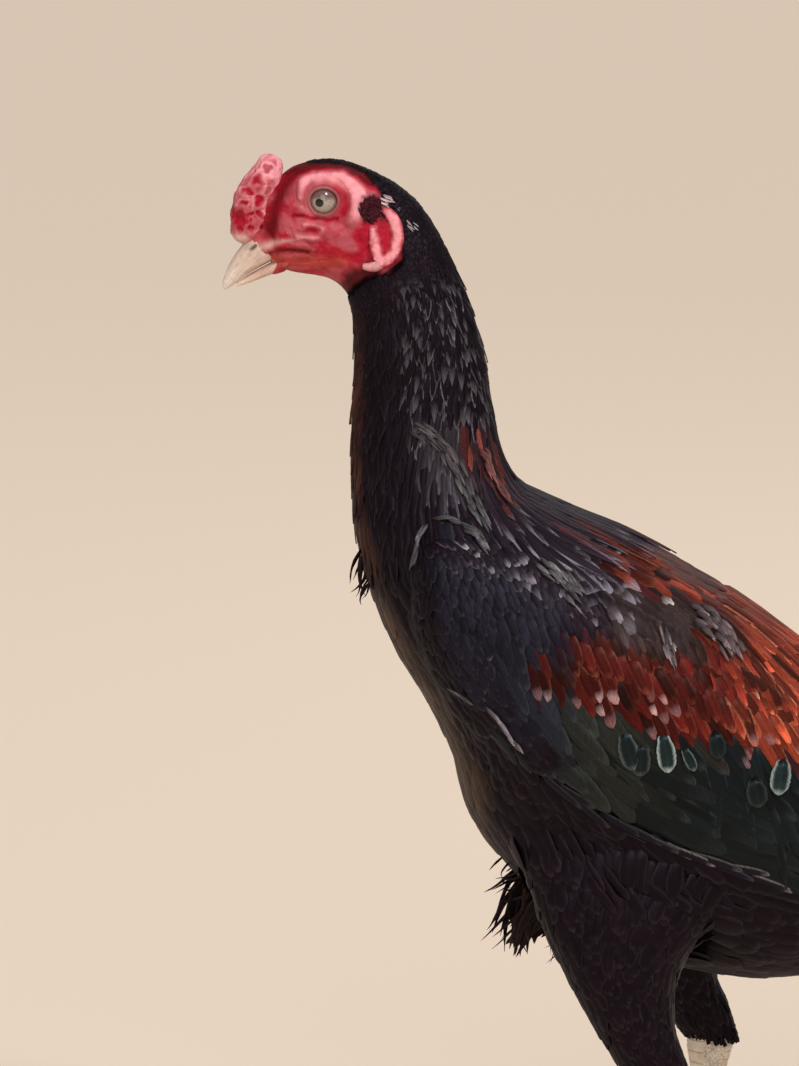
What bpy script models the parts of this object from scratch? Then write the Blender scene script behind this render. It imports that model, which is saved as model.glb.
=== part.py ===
"""Aseel rooster, standing: a still, life-size model of the whole bird, one node for each part.

Frame: metres, +Z up. The bird faces -X and its left side is -Y. The floor is Z = 0, and the origin
lies on the floor under the middle of the bird's bounding box. Lengths in the tables are millimetres
in the bird's own plan, where X is counted from a plumb line behind the breast; PLAN_SHIFT moves that
plan so that the origin is the middle of the box.
"""

import math

import bmesh
import bpy
import numpy as np
from mathutils import Matrix, Vector
from mathutils.bvhtree import BVHTree

MM = 0.001
GAP = 0.3 * MM
WING_GAP = 0.6 * MM
# Feathers are cut by a little less, so that faces which already keep their gap aren't cut again.
FEATHER_GAP = 0.2 * MM
PLAN_SHIFT = -110.5
SIDES = (("left", -1.0), ("right", 1.0))

# Rings from the face to the tail base: back edge x, z, lower edge x, z, and half the width.
BODY_RINGS = (
    (-155, 581, -152, 553, 8.0), (-148, 592, -149, 550, 11.5), (-139, 600, -145, 548, 15.0),
    (-127, 604, -139, 546, 17.8), (-114, 604, -133, 545, 19.5), (-99, 599, -126, 544, 20.5),
    (-83, 590, -119, 542, 20.5), (-70, 577, -113, 537, 21.0), (-57, 555, -109, 525, 23.5),
    (-46, 529, -108, 508, 25.0), (-39, 503, -108, 490, 26.0), (-35, 476, -109, 471, 27.0),
    (-32, 457, -109, 450, 29.0), (-27, 444, -108, 426, 33.0), (-20, 435, -105, 403, 41.0),
    (-8, 429, -98, 374, 51.0), (10, 421, -86, 346, 61.0), (34, 411, -70, 320, 69.0),
    (62, 396, -57, 292, 74.0), (91, 378, -47, 261, 76.0), (117, 359, -27, 234, 75.0),
    (140, 340, 3, 208, 72.0), (161, 320, 42, 187, 66.0), (179, 302, 86, 176, 57.0),
    (195, 285, 127, 176, 46.0), (207, 271, 160, 190, 33.0), (214, 261, 185, 211, 20.0),
)
HEAD_END, NECK_MIDDLE, NECK_END, BODY_END = 7.0, 10.5, 13.6, 26.0
BODY_FULLNESS = 2.25
BODY_WIDE_HIGH = 0.10

# The folded wing in side view, from the wrist to the tip: top edge x, z and bottom edge x, z.
WING_EDGES = (
    (-70, 410, -76, 392), (-58, 414, -72, 360), (-36, 412, -55, 325), (-8, 403, -26, 298),
    (26, 387, 5, 274), (62, 369, 42, 253), (99, 345, 83, 237), (133, 321, 125, 223),
    (161, 295, 157, 213), (185, 268, 184, 207), (200, 241, 203, 208),
)
VANE_THICKNESS = 0.9
LONG_VANE = 80.0
# A vane's root: how long and how deep it is sunk. Then how high the rest of the vane lies over what is
# under it, and how far up that is looked for.
ROOT_LENGTH, ROOT_DEPTH, LAY_CLEARANCE, LAY_REACH = 6.0, 2.5, 1.2, 40.0
# How much of its inward slant a path keeps past the end of its surface.
PAST_END_TURN = 0.3
WING_THICKNESS = 11.0
WRIST_THICKNESS = 15.0
WING_SUNK = 5.0

# Rings down each feathered thigh: front edge x, z, rear edge x, z, half the width, distance from the middle.
THIGH_RINGS = {
    "left": (
        (-22, 264, 100, 252, 24.0, 38.0), (-18, 234, 88, 222, 27.0, 44.0), (-7, 202, 64, 190, 25.0, 47.0),
        (11, 166, 60, 160, 20.0, 48.0), (28, 138, 67, 137, 15.5, 48.0), (40, 124, 72, 125, 12.5, 48.0),
    ),
    "right": (
        (6, 264, 124, 248, 24.0, 38.0), (8, 234, 108, 216, 27.0, 44.0), (20, 202, 88, 190, 25.0, 47.0),
        (37, 171, 85, 168, 20.0, 48.0), (54, 147, 92, 149, 15.5, 48.0), (65, 133, 96, 136, 12.5, 48.0),
    ),
}
HOCK = {"left": (56.0, 112.0), "right": (81.0, 121.0)}
FOOT_X = {"left": 8.0, "right": 74.0}
LEG_Y = 48.0
HOCK_SUNK = 15.0

EYE = (-122.5, 12.0, 584.5)
EYE_RADIUS = 8.5
LID_RADIUS = 7.4
COMB_FOOT = (-160.0, 563.0)
COMB_TOP = (-151.5, 601.0)
LOBE = (-91.5, 563.5)
LOBE_GAP = 0.5 * MM
EAR = (-98.5, 581.0)
TAIL_ROOT = (198.0, 240.0)

# Toe name: heading from straight ahead in degrees towards the outer side, flesh length, claw length,
# half width.
TOES = {
    "toe_back": (186.0, 27.0, 12.0, 5.0),
    "toe_inner": (-36.0, 50.0, 14.0, 5.8),
    "toe_middle": (3.0, 68.0, 16.0, 6.4),
    "toe_outer": (40.0, 53.0, 13.0, 5.6),
}


def at_plan(x, y, z):
    """A point of the bird's plan, in millimetres, as a place in the frame."""
    return Vector(((x + PLAN_SHIFT) * MM, y * MM, z * MM))


def material(name, colour, roughness, metallic=0.0):
    """A plain Principled material."""
    made = bpy.data.materials.new(name)
    made.use_nodes = True
    shader = made.node_tree.nodes["Principled BSDF"]
    shader.inputs["Base Color"].default_value = (*colour, 1.0)
    shader.inputs["Roughness"].default_value = roughness
    shader.inputs["Metallic"].default_value = metallic
    return made


def clear_scene():
    """Removes whatever the scene holds, and makes the model's collection."""
    for obj in list(bpy.data.objects):
        bpy.data.objects.remove(obj)
    group = bpy.data.collections.new("aseel_rooster")
    bpy.context.scene.collection.children.link(group)
    return group


def new_object(name, bm):
    """An object made from a bmesh, linked to the scene, with its faces pointing out."""
    bmesh.ops.recalc_face_normals(bm, faces=bm.faces)
    mesh = bpy.data.meshes.new(name)
    bm.to_mesh(mesh)
    bm.free()
    obj = bpy.data.objects.new(name, mesh)
    bpy.context.scene.collection.objects.link(obj)
    return obj


def smooth_row(rows, place):
    """The row of numbers at a place between rows, on a smooth curve through them."""
    last = len(rows) - 1
    place = min(max(place, 0.0), float(last))
    i = min(int(place), last - 1)
    t = place - i
    before, here = rows[max(i - 1, 0)], rows[i]
    after, beyond = rows[i + 1], rows[min(i + 2, last)]
    return 0.5 * (
        2 * here + (after - before) * t + (2 * before - 5 * here + 4 * after - beyond) * t**2
        + (3 * here - before - 3 * after + beyond) * t**3
    )


class Form:
    """A rounded form between two edge lines in side view. u counts rings, v is the turn from 0 to 1
    round a ring, from edge A by the left side to edge B."""

    def __init__(self, rings, fullness=2.0, wide_high=0.0, side=0.0, flat_floor=False):
        self.rows = np.array([(*r[:5], r[5] if len(r) > 5 else 0.0) for r in rings], float)
        self.last = len(rings) - 1.0
        self.power = 2.0 / fullness
        self.wide_high = wide_high
        self.side = side
        self.flat_floor = flat_floor

    def at(self, u, v):
        """The surface point at ring place u and turn v."""
        ax, az, bx, bz, half_width, middle = smooth_row(self.rows, u)
        angle = 2 * math.pi * v
        c, s = math.cos(angle), math.sin(angle)
        rise = math.copysign(abs(c) ** self.power, c) + self.wide_high * s * s
        across = -math.copysign(abs(s) ** self.power, s)
        x = (ax + bx) / 2 + (ax - bx) / 2 * rise
        z = (az + bz) / 2 + (az - bz) / 2 * rise
        if self.flat_floor:
            z = max(z, 0.0)
        return at_plan(x, middle * self.side + half_width * across, z)

    def slopes(self, u, v):
        """Change of the point for one ring and for one turn."""
        step = 0.02
        low, high = max(u - step, 0.0), min(u + step, self.last)
        along = (self.at(high, v) - self.at(low, v)) / (high - low)
        around = (self.at(u, v + step / 2) - self.at(u, v - step / 2)) / step
        return along, around

    def normal(self, u, v):
        """The outward direction."""
        along, around = self.slopes(u, v)
        out = around.cross(along).normalized()
        return out if out.dot(self.at(u, v) - self.at(u, v + 0.5)) > 0 else -out


class Pad:
    """A pad that follows the body's side between two edge lines. u runs from 0 at the front to 1 at
    the tip, v from 0 at the top edge to 1 at the bottom edge."""

    def __init__(self, edges, tree, side, columns=44, rows=14):
        self.last = 1.0
        table = np.array(edges, float)
        self.inner = [[None] * (rows + 1) for _ in range(columns + 1)]
        self.out = [[None] * (rows + 1) for _ in range(columns + 1)]
        for i in range(columns + 1):
            tx, tz, bx, bz = smooth_row(table, i / columns * (len(edges) - 1))
            for j in range(rows + 1):
                t = j / rows
                start = at_plan(tx + (bx - tx) * t, 300.0 * side, tz + (bz - tz) * t)
                hit, normal, _, _ = tree.ray_cast(start, Vector((0.0, -side, 0.0)))
                if hit is None:
                    near = self.inner[i - 1][j]
                    hit, normal = Vector((start.x, near.y, start.z)), self.out[i - 1][j]
                self.inner[i][j] = hit
                self.out[i][j] = normal
        self.columns, self.rows = columns, rows

    def depth(self, u, v):
        """Thickness of the pad, in millimetres: fullest at the wrist, thin at the edges."""
        body = WING_THICKNESS + (WRIST_THICKNESS - WING_THICKNESS) * math.exp(-(((u - 0.1) / 0.14) ** 2))
        front = min(1.0, u / 0.07) ** 0.5
        back = min(1.0, (1.0 - u) / 0.30) ** 0.6
        edge = (4 * v * (1 - v)) ** 0.45
        return WING_GAP / MM + 0.7 + body * front * back * edge

    def cell(self, grid, u, v):
        """Bilinear value of a grid at u, v."""
        x = min(max(u, 0.0), 1.0) * self.columns
        y = min(max(v, 0.0), 1.0) * self.rows
        i, j = min(int(x), self.columns - 1), min(int(y), self.rows - 1)
        a, b = x - i, y - j
        low = grid[i][j] * (1 - b) + grid[i][j + 1] * b
        high = grid[i + 1][j] * (1 - b) + grid[i + 1][j + 1] * b
        return low * (1 - a) + high * a

    def back(self, u, v):
        """The point under u, v, sunk in the body, from which the body is cut away later."""
        return self.cell(self.inner, u, v) - self.cell(self.out, u, v).normalized() * WING_SUNK * MM

    def at(self, u, v):
        """The outer surface point."""
        rise = self.depth(min(max(u, 0.0), 1.0), min(max(v, 0.0), 1.0)) * MM
        return self.cell(self.inner, u, v) + self.cell(self.out, u, v).normalized() * rise

    def slopes(self, u, v):
        """Change of the point for the whole length and for the whole height."""
        step = 0.03
        low, high = max(u - step, 0.0), min(u + step, 1.0)
        up, down = max(v - step, 0.0), min(v + step, 1.0)
        along = (self.at(high, v) - self.at(low, v)) / (high - low)
        around = (self.at(u, down) - self.at(u, up)) / (down - up)
        return along, around

    def normal(self, u, v):
        """The outward direction, smoothed towards the body's own."""
        along, around = self.slopes(u, v)
        out = along.cross(around).normalized()
        body_out = self.cell(self.out, u, v).normalized()
        return ((out if out.dot(body_out) > 0 else -out) + body_out).normalized()


def walk(surface, u, v, heading, length, steps):
    """Points and normals of a path over a surface from u, v: heading is in degrees from the direction
    of rising u towards rising v, length in millimetres. Past the surface's end it runs on straight."""
    points, normals = [surface.at(u, v)], [surface.normal(u, v)]
    stride = length * MM / steps
    for _ in range(steps):
        along, around = surface.slopes(u, v)
        e1 = along.normalized()
        e2 = (around - e1 * around.dot(e1)).normalized()
        turn = math.radians(heading)
        move = (e1 * math.cos(turn) + e2 * math.sin(turn)) * stride
        dv = move.dot(e2) / around.dot(e2)
        du = (move - around * dv).dot(e1) / along.length
        if u + du > surface.last:
            straight = points[-1] - points[-2] if len(points) > 1 else move
            straight.y *= PAST_END_TURN
            points.append(points[-1] + straight.normalized() * stride)
            normals.append(normals[-1])
            continue
        u, v = u + du, v + dv
        points.append(surface.at(u, v))
        normals.append(surface.normal(u, v))
    return points, normals


def loft(name, surface, places, around, ends=(0.0, 0.0)):
    """A closed solid through rings of a form. ends moves the first and last ring inwards, in metres."""
    bm = bmesh.new()
    rings = []
    for k, u in enumerate(places):
        ring = [surface.at(u, j / around) for j in range(around)]
        if k in (0, len(places) - 1) and ends[0 if k == 0 else 1]:
            step = 0.01 if k == 0 else -0.01
            middle = sum(ring, Vector()) / around
            inner = sum((surface.at(u + step, j / around) for j in range(around)), Vector()) / around
            tall, wide = ring[0] - ring[around // 2], ring[around // 4] - ring[3 * around // 4]
            plane = tall.cross(wide).normalized()
            inward = plane if plane.dot(inner - middle) > 0 else -plane
            ring = [p + inward * ends[0 if k == 0 else 1] for p in ring]
        rings.append([bm.verts.new(p) for p in ring])
    for low, high in zip(rings, rings[1:]):
        for j in range(around):
            bm.faces.new((low[j], low[(j + 1) % around], high[(j + 1) % around], high[j]))
    for ring in (rings[0], rings[-1]):
        middle = bm.verts.new(sum((p.co for p in ring), Vector()) / around)
        for j in range(around):
            bm.faces.new((ring[j], ring[(j + 1) % around], middle))
    return new_object(name, bm)


def vane(points, normals, half_widths):
    """One feather as a thin closed vane on a path; its faces are split alike above and below."""
    bm = bmesh.new()
    last = len(points) - 1
    corners = []
    for k, (point, normal) in enumerate(zip(points, normals)):
        tangent = (points[min(k + 1, last)] - points[max(k - 1, 0)]).normalized()
        side = tangent.cross(normal).normalized()
        rise = side.cross(tangent) * VANE_THICKNESS * MM / 2
        across = side * half_widths[k] * MM
        corners.append([bm.verts.new(p) for p in (
            point - across + rise, point + across + rise, point + across - rise, point - across - rise,
        )])
    for low, high in zip(corners, corners[1:]):
        bm.faces.new((low[0], low[1], high[1]))
        bm.faces.new((low[0], high[1], high[0]))
        bm.faces.new((low[3], high[2], low[2]))
        bm.faces.new((low[3], high[3], high[2]))
        for a, b in ((1, 2), (3, 0)):
            bm.faces.new((low[a], low[b], high[b], high[a]))
    for ring in (corners[0], corners[-1]):
        bm.faces.new(ring)
    return new_object("vane", bm)


def outline(steps, widest, half_width, root=0.45, tip=0.10, blunt=0.5):
    """Half widths along a feather: it swells to its widest place and narrows to the tip."""
    widths = []
    for k in range(steps + 1):
        t = k / steps
        if t < widest:
            share = root + (1 - root) * math.sin(t / widest * math.pi / 2)
        else:
            share = max(tip, (1 - ((t - widest) / (1 - widest)) ** 2) ** blunt)
        widths.append(half_width * share)
    return widths


def apply_modifier(obj):
    """Replaces an object's mesh by what its modifiers make of it."""
    bpy.context.view_layer.update()
    graph = bpy.context.evaluated_depsgraph_get()
    mesh = bpy.data.meshes.new_from_object(obj.evaluated_get(graph))
    obj.modifiers.clear()
    obj.data = mesh


def keep_largest(obj):
    """Keeps the largest closed surface of a mesh, and drops loose scraps and sealed hollows."""
    bm = bmesh.new()
    bm.from_mesh(obj.data)
    bmesh.ops.triangulate(bm, faces=bm.faces)
    bm.verts.ensure_lookup_table()
    seen, islands = set(), []
    for start in bm.verts:
        if start in seen:
            continue
        island, front = {start}, [start]
        while front:
            vert = front.pop()
            for edge in vert.link_edges:
                other = edge.other_vert(vert)
                if other not in island:
                    island.add(other)
                    front.append(other)
        seen |= island
        islands.append(island)

    def extent(island):
        low = [min(v.co[k] for v in island) for k in range(3)]
        high = [max(v.co[k] for v in island) for k in range(3)]
        return math.dist(low, high)

    islands.sort(key=extent)
    for island in islands[:-1]:
        bmesh.ops.delete(bm, geom=list(island), context="VERTS")
    bm.to_mesh(obj.data)
    bm.free()


def combine(target, others, operation):
    """Joins closed meshes to the target, or cuts them from it, by one Boolean on their collection."""
    group = bpy.data.collections.new("operands")
    bpy.context.scene.collection.children.link(group)
    for other in others:
        for holder in list(other.users_collection):
            holder.objects.unlink(other)
        group.objects.link(other)
    boolean = target.modifiers.new(operation.lower(), "BOOLEAN")
    boolean.operation = operation
    boolean.operand_type = "COLLECTION"
    boolean.collection = group
    boolean.solver = "MANIFOLD"
    apply_modifier(target)
    for other in list(group.objects):
        bpy.data.objects.remove(other)
    bpy.data.collections.remove(group)
    keep_largest(target)
    return target


def swollen(obj, distance):
    """A copy of a solid, moved outwards by a distance."""
    copy = bpy.data.objects.new(obj.name + "_swollen", obj.data.copy())
    bpy.context.scene.collection.objects.link(copy)
    push = copy.modifiers.new("push", "DISPLACE")
    push.mid_level = 0.0
    push.strength = distance
    apply_modifier(copy)
    return copy


def clear_of(obj, neighbours, gap=GAP):
    """Cuts an object clear of its neighbours by the gap. Swelling turns some slivers over, so what the
    first cut leaves is cut again by a copy swollen by half as much."""
    for neighbour in neighbours:
        for distance in (gap, gap / 2):
            combine(obj, [swollen(neighbour, distance)], "DIFFERENCE")
    return obj


def ball(name, centre, radii, turn=0.0, segments=16, rings=10):
    """An ellipsoid, turned about Y by an angle in degrees."""
    bm = bmesh.new()
    bmesh.ops.create_uvsphere(bm, u_segments=segments, v_segments=rings, radius=1.0)
    shape = Matrix.Translation(centre) @ Matrix.Rotation(math.radians(turn), 4, "Y")
    bm.transform(shape @ Matrix.Diagonal((*[r * MM for r in radii], 1.0)))
    return new_object(name, bm)


def tree_of(objects):
    """One search tree over several objects' meshes."""
    points, faces = [], []
    for obj in objects:
        start = len(points)
        points += [obj.matrix_world @ v.co for v in obj.data.vertices]
        faces += [[start + i for i in p.vertices] for p in obj.data.polygons]
    return BVHTree.FromPolygons(points, faces)


def rise_over(tree, place, normal):
    """How far what the tree holds rises over a place, along the normal."""
    hit, _, _, _ = tree.ray_cast(place + normal * LAY_REACH * MM, -normal)
    return max(0.0, (hit - place).dot(normal)) if hit is not None else 0.0


def lay(points, normals, half_widths, tree):
    """Lifts a path clear over what the tree holds, across the vane's width and half way to its
    neighbours on the path, and adds the sunk root in front of it."""
    laid = []
    last = len(points) - 1
    for k, (point, normal) in enumerate(zip(points, normals)):
        ahead, behind = points[min(k + 1, last)], points[max(k - 1, 0)]
        side = (ahead - behind).cross(normal).normalized() * half_widths[k] * MM
        along = (point, point.lerp(ahead, 0.5), point.lerp(behind, 0.5))
        places = [place + side * share for place in along for share in (-1.0, 0.0, 1.0)]
        rise = max(rise_over(tree, place, normal) for place in places)
        laid.append(point + normal * (rise + LAY_CLEARANCE * MM))
    back = (points[0] - points[1]).normalized()
    root = points[0] + back * ROOT_LENGTH * MM - normals[0] * ROOT_DEPTH * MM
    return [root, *laid], [normals[0], *normals], [half_widths[0], *half_widths]


def lay_tier(rows, under):
    """Vanes laid one after another over the objects under them. A row is a path, its normals and widths."""
    made = []
    for points, normals, widths in rows:
        made.append(vane(*lay(points, normals, widths, tree_of([*under, *made]))))
    return made


def tube(name, points, radius, sides=3):
    """A round tube along points as a closed mesh; radius is in millimetres."""
    curve = bpy.data.curves.new(name, "CURVE")
    curve.dimensions = "3D"
    curve.bevel_depth = radius * MM
    curve.bevel_resolution = sides
    curve.use_fill_caps = True
    line = curve.splines.new("POLY")
    line.points.add(len(points) - 1)
    for place, point in zip(line.points, points):
        place.co = (*point, 1.0)
    source = bpy.data.objects.new(name, curve)
    bpy.context.scene.collection.objects.link(source)
    bpy.context.view_layer.update()
    mesh = bpy.data.meshes.new_from_object(source.evaluated_get(bpy.context.evaluated_depsgraph_get()))
    bpy.data.objects.remove(source)
    bm = bmesh.new()
    bm.from_mesh(mesh)
    bmesh.ops.remove_doubles(bm, verts=bm.verts, dist=0.01 * MM)
    return new_object(name, bm)


def spread(low, high, count):
    """Evenly spaced values from low to high."""
    return [low + (high - low) * k / max(count - 1, 1) for k in range(count)]


def pad_solid(name, pad, columns=10, rows=5):
    """The closed solid between a pad's outer face and its back."""
    bm = bmesh.new()
    outer, inner = (
        [[bm.verts.new(place(i / columns, j / rows)) for j in range(rows + 1)] for i in range(columns + 1)]
        for place in (pad.at, pad.back)
    )
    for i in range(columns):
        for j in range(rows):
            for grid in (outer, inner):
                a, b, c, d = grid[i][j], grid[i + 1][j], grid[i + 1][j + 1], grid[i][j + 1]
                bm.faces.new((a, b, c))
                bm.faces.new((a, c, d))
    for i in range(columns):
        for j in (0, rows):
            bm.faces.new((outer[i][j], outer[i + 1][j], inner[i + 1][j], inner[i][j]))
    for j in range(rows):
        for i in (0, columns):
            bm.faces.new((outer[i][j], outer[i][j + 1], inner[i][j + 1], inner[i][j]))
    return new_object(name, bm)


# Tiers of hackle, the lowest first: ring place on the body, how many, half the arc in turns, length,
# half width.
UPPER_HACKLE = ((9.2, 6, 0.22, 40.0, 6.4), (7.9, 5, 0.19, 36.0, 5.8))
LOWER_HACKLE = ((13.25, 7, 0.20, 90.0, 10.5), (12.4, 6, 0.21, 66.0, 9.5), (11.2, 5, 0.22, 48.0, 8.5))
SADDLE_HACKLE = ((24.3, 6, 0.15, 96.0, 8.8), (23.2, 5, 0.12, 80.0, 8.4), (22.1, 4, 0.09, 62.0, 8.0))
NECK_DROOP, SADDLE_DROOP = 14.0, 34.0


def hackle_tiers(surface, tiers, droop, under):
    """Tiers of pointed hackle round the upper side of a form: staggered, drooping to the sides, and
    laid over what they hang on."""
    rows = []
    for row, (place, count, arc, length, half_width) in enumerate(tiers):
        stagger = (row % 2 - 0.5) * arc / count * 0.6
        for k, turn in enumerate(spread(-arc, arc, count)):
            share = (turn + stagger) / arc
            reach = length * (1.0 + 0.06 * math.sin(7.3 * k + 2.1 * row)) * (1.0 - 0.12 * abs(share))
            steps = 4 if reach > LONG_VANE else 3
            points, normals = walk(surface, place + 0.12 * math.sin(5.1 * k + row), turn + stagger,
                                   droop * share, reach, steps)
            rows.append((points, normals, outline(steps, 0.45, half_width, root=0.6, tip=0.14, blunt=0.8)))
    return lay_tier(rows, under)


def make_neck(body):
    """The neck in two lengths, each a closed solid."""
    upper = loft("neck_upper", body, spread(HEAD_END, NECK_MIDDLE, 6), 18, ends=(GAP / 2, GAP / 2))
    lower = loft("neck_lower", body, spread(NECK_MIDDLE, NECK_END, 6), 18, ends=(GAP / 2, GAP / 2))
    return upper, lower


def feather_neck(body, upper, lower, torso, wings):
    """Joins the hackle to both lengths of the neck, clear of the back and wings that it hangs over."""
    combine(lower, hackle_tiers(body, LOWER_HACKLE, NECK_DROOP, [lower, torso, *wings]), "UNION")
    clear_of(lower, [torso, *wings], FEATHER_GAP)
    combine(upper, hackle_tiers(body, UPPER_HACKLE, NECK_DROOP, [upper, lower]), "UNION")
    clear_of(upper, [lower], FEATHER_GAP)


# The loose tuft at the front of the belly: place and turn of each root, and where its tip hangs.
BELLY_TUFT = (
    (20.1, 0.46, -30.0, -7.0, 186.0), (20.4, 0.49, -21.0, 1.0, 180.0),
    (20.7, 0.52, -12.0, 5.0, 183.0), (20.9, 0.55, -4.0, 12.0, 190.0),
)
TUFT_HALF = 6.5


def belly_tuft(body):
    """A few loose feathers that hang from the belly in front of the legs."""
    made = []
    for k, (place, turn, tip_x, tip_y, tip_z) in enumerate(BELLY_TUFT):
        root, out = body.at(place, turn), body.normal(place, turn)
        root = root - out * 3.0 * MM
        tip = at_plan(tip_x, tip_y, tip_z)
        bow = Vector((-1.0, 0.0, 0.0)) * 5.0 * MM
        points = [root.lerp(tip, t) + bow * math.sin(math.pi * t) for t in spread(0.0, 1.0, 4)]
        facing = Vector((-0.5, -0.8 + 0.3 * k, 0.0)).normalized()
        made.append(vane(points, [facing] * 4, outline(3, 0.5, TUFT_HALF, root=0.6)))
    return made


def feather_torso(body, torso, wings, tail):
    """Joins the saddle hackle and the belly's tuft to the torso, clear of the wings and the tail."""
    saddle = hackle_tiers(body, SADDLE_HACKLE, SADDLE_DROOP, [torso, *wings, tail])
    combine(torso, saddle + belly_tuft(body), "UNION")
    clear_of(torso, [*wings, tail], FEATHER_GAP)


def make_torso(body):
    """Breast, back and belly as one solid behind the neck."""
    return loft("torso", body, spread(NECK_END, BODY_END, 13), 20, ends=(GAP / 2, 0.0))


# Tiers on the wing, from the tip forward: place along at the top and at the bottom edge, first and last
# place across, how many, length at the top and at the bottom, heading in degrees, share of the space filled.
WING_TIERS = (
    (0.80, 0.82, 0.60, 0.90, 3, 74.0, 66.0, 0.0, 0.60),
    (0.60, 0.55, 0.14, 0.88, 5, 96.0, 108.0, 4.0, 0.50),
    (0.47, 0.41, 0.10, 0.93, 5, 84.0, 66.0, 8.0, 0.47),
    (0.32, 0.28, 0.10, 0.92, 5, 56.0, 50.0, 10.0, 0.47),
    (0.19, 0.19, 0.12, 0.90, 4, 44.0, 40.0, 10.0, 0.47),
    (0.08, 0.11, 0.20, 0.80, 3, 38.0, 34.0, 10.0, 0.47),
)


def wing_feathers(pad, wing):
    """All tiers of one wing, each laid over the tier behind it."""
    rows = []
    for row, tier in enumerate(WING_TIERS):
        top_u, low_u, first, last, count, top_length, low_length, heading, fill = tier
        half = (pad.at(top_u, first) - pad.at(low_u, last)).length / MM / (count - 1) * fill
        for k, v in reversed(list(enumerate(spread(first, last, count)))):
            share = k / (count - 1)
            length = top_length + (low_length - top_length) * share
            length *= 1.0 + 0.05 * math.sin(4.7 * k + 1.9 * row)
            steps = 4 if length > LONG_VANE else 3
            u = top_u + (low_u - top_u) * share
            points, normals = walk(pad, u, v, heading * (1 - 0.7 * share), length, steps)
            rows.append((points, normals, outline(steps, 0.55, half, root=0.6, tip=0.34, blunt=0.55)))
    return lay_tier(rows, [wing])


def make_wing(side_name, side, neighbours):
    """One folded wing: a pad on the body's side with overlapping tiers of feathers."""
    guide = loft("guide", BODY, spread(12.0, BODY_END, 60), 96)
    pad = Pad(WING_EDGES, tree_of([guide]), side)
    bpy.data.objects.remove(guide)
    wing = pad_solid(f"wing_{side_name}", pad)
    combine(wing, wing_feathers(pad, wing), "UNION")
    return clear_of(wing, neighbours, WING_GAP)


# Main tail feathers of one side, top to bottom: how many, slope at the top and bottom, lengths, half width.
TAIL_COUNT, TAIL_SLOPES, TAIL_LENGTHS, TAIL_HALF = 5, (-20.0, -50.0), (178.0, 150.0), 18.0
TAIL_CURVE = -7.0
TAIL_CORE = (30.0, 20.0, 24.0)
# Sickles and lesser sickles: slope at the root and at the tip, length, half width.
SICKLES = (
    (6.0, -62.0, 232.0, 11.5), (-6.0, -68.0, 176.0, 11.0), (-22.0, -74.0, 136.0, 11.0),
)
SICKLE_OUT = 11.5
SICKLE_STEP = 2.4


def tail_vane(root, slopes, length, half_width, splay, side, steps, tip):
    """One tail feather on edge: its path turns from one slope to the other in side view."""
    points = [root]
    for k in range(steps):
        slope = math.radians(slopes[0] + (slopes[1] - slopes[0]) * (k + 0.5) / steps)
        stride = Vector((math.cos(slope), side * splay, math.sin(slope))) * length * MM / steps
        points.append(points[-1] + stride)
    out = Vector((0.0, side, 0.30)).normalized()
    widths = outline(steps, 0.62, half_width, root=0.4, tip=tip, blunt=0.5)
    return vane(points, [out] * len(points), widths)


def tail_feathers():
    """Both sides of the tail: the main feathers in a fan, and the sickles outside them."""
    made = []
    for _, side in SIDES:
        for k in range(TAIL_COUNT):
            share = k / (TAIL_COUNT - 1)
            slope = TAIL_SLOPES[0] + (TAIL_SLOPES[1] - TAIL_SLOPES[0]) * share
            length = TAIL_LENGTHS[0] + (TAIL_LENGTHS[1] - TAIL_LENGTHS[0]) * share
            root = at_plan(TAIL_ROOT[0], side * (1.2 + 1.6 * k), TAIL_ROOT[1] + 12 - 24 * share)
            slopes = (slope, slope + TAIL_CURVE)
            made.append(tail_vane(root, slopes, length, TAIL_HALF, 0.02 + 0.012 * k, side, 3, 0.7))
        for k, (first, last, length, half) in enumerate(SICKLES):
            root = at_plan(TAIL_ROOT[0] + 3, side * (SICKLE_OUT + SICKLE_STEP * k), TAIL_ROOT[1] + 17 - 7 * k)
            made.append(tail_vane(root, (first, last), length, half, 0.03 + 0.02 * k, side, 5, 0.14))
    return made


def make_tail(torso):
    """The tail: its root, the fan of main feathers and the sickles, clear of the torso."""
    middle = at_plan(TAIL_ROOT[0] + 6, 0.0, TAIL_ROOT[1])
    tail = ball("tail", middle, TAIL_CORE, turn=32.0, segments=10, rings=6)
    combine(tail, tail_feathers(), "UNION")
    return clear_of(tail, [torso])


def make_thigh(side_name, side, torso):
    """One feathered thigh down to the hock, clear of the body that it grows from."""
    form = Form(THIGH_RINGS[side_name], 2.0, side=side)
    thigh = loft(f"thigh_{side_name}", form, spread(0.0, form.last, 8), 14)
    return clear_of(thigh, [torso])


def leg_frame(side_name, side):
    """The hock and the foot of one leg, as places in the frame."""
    hock_x, hock_z = HOCK[side_name]
    return at_plan(hock_x, LEG_Y * side, hock_z), at_plan(FOOT_X[side_name], LEG_Y * side, 0.0)


# Down the shank: share of its length, half depth, half width.
SHANK_PROFILE = (
    (0.0, 11.0, 9.5), (0.08, 12.5, 10.5), (0.2, 9.0, 8.0), (0.5, 7.8, 7.0), (0.82, 8.2, 7.6),
    (0.95, 10.5, 10.0), (1.0, 8.5, 9.0),
)
FOOT_HEIGHT = 11.0


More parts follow.
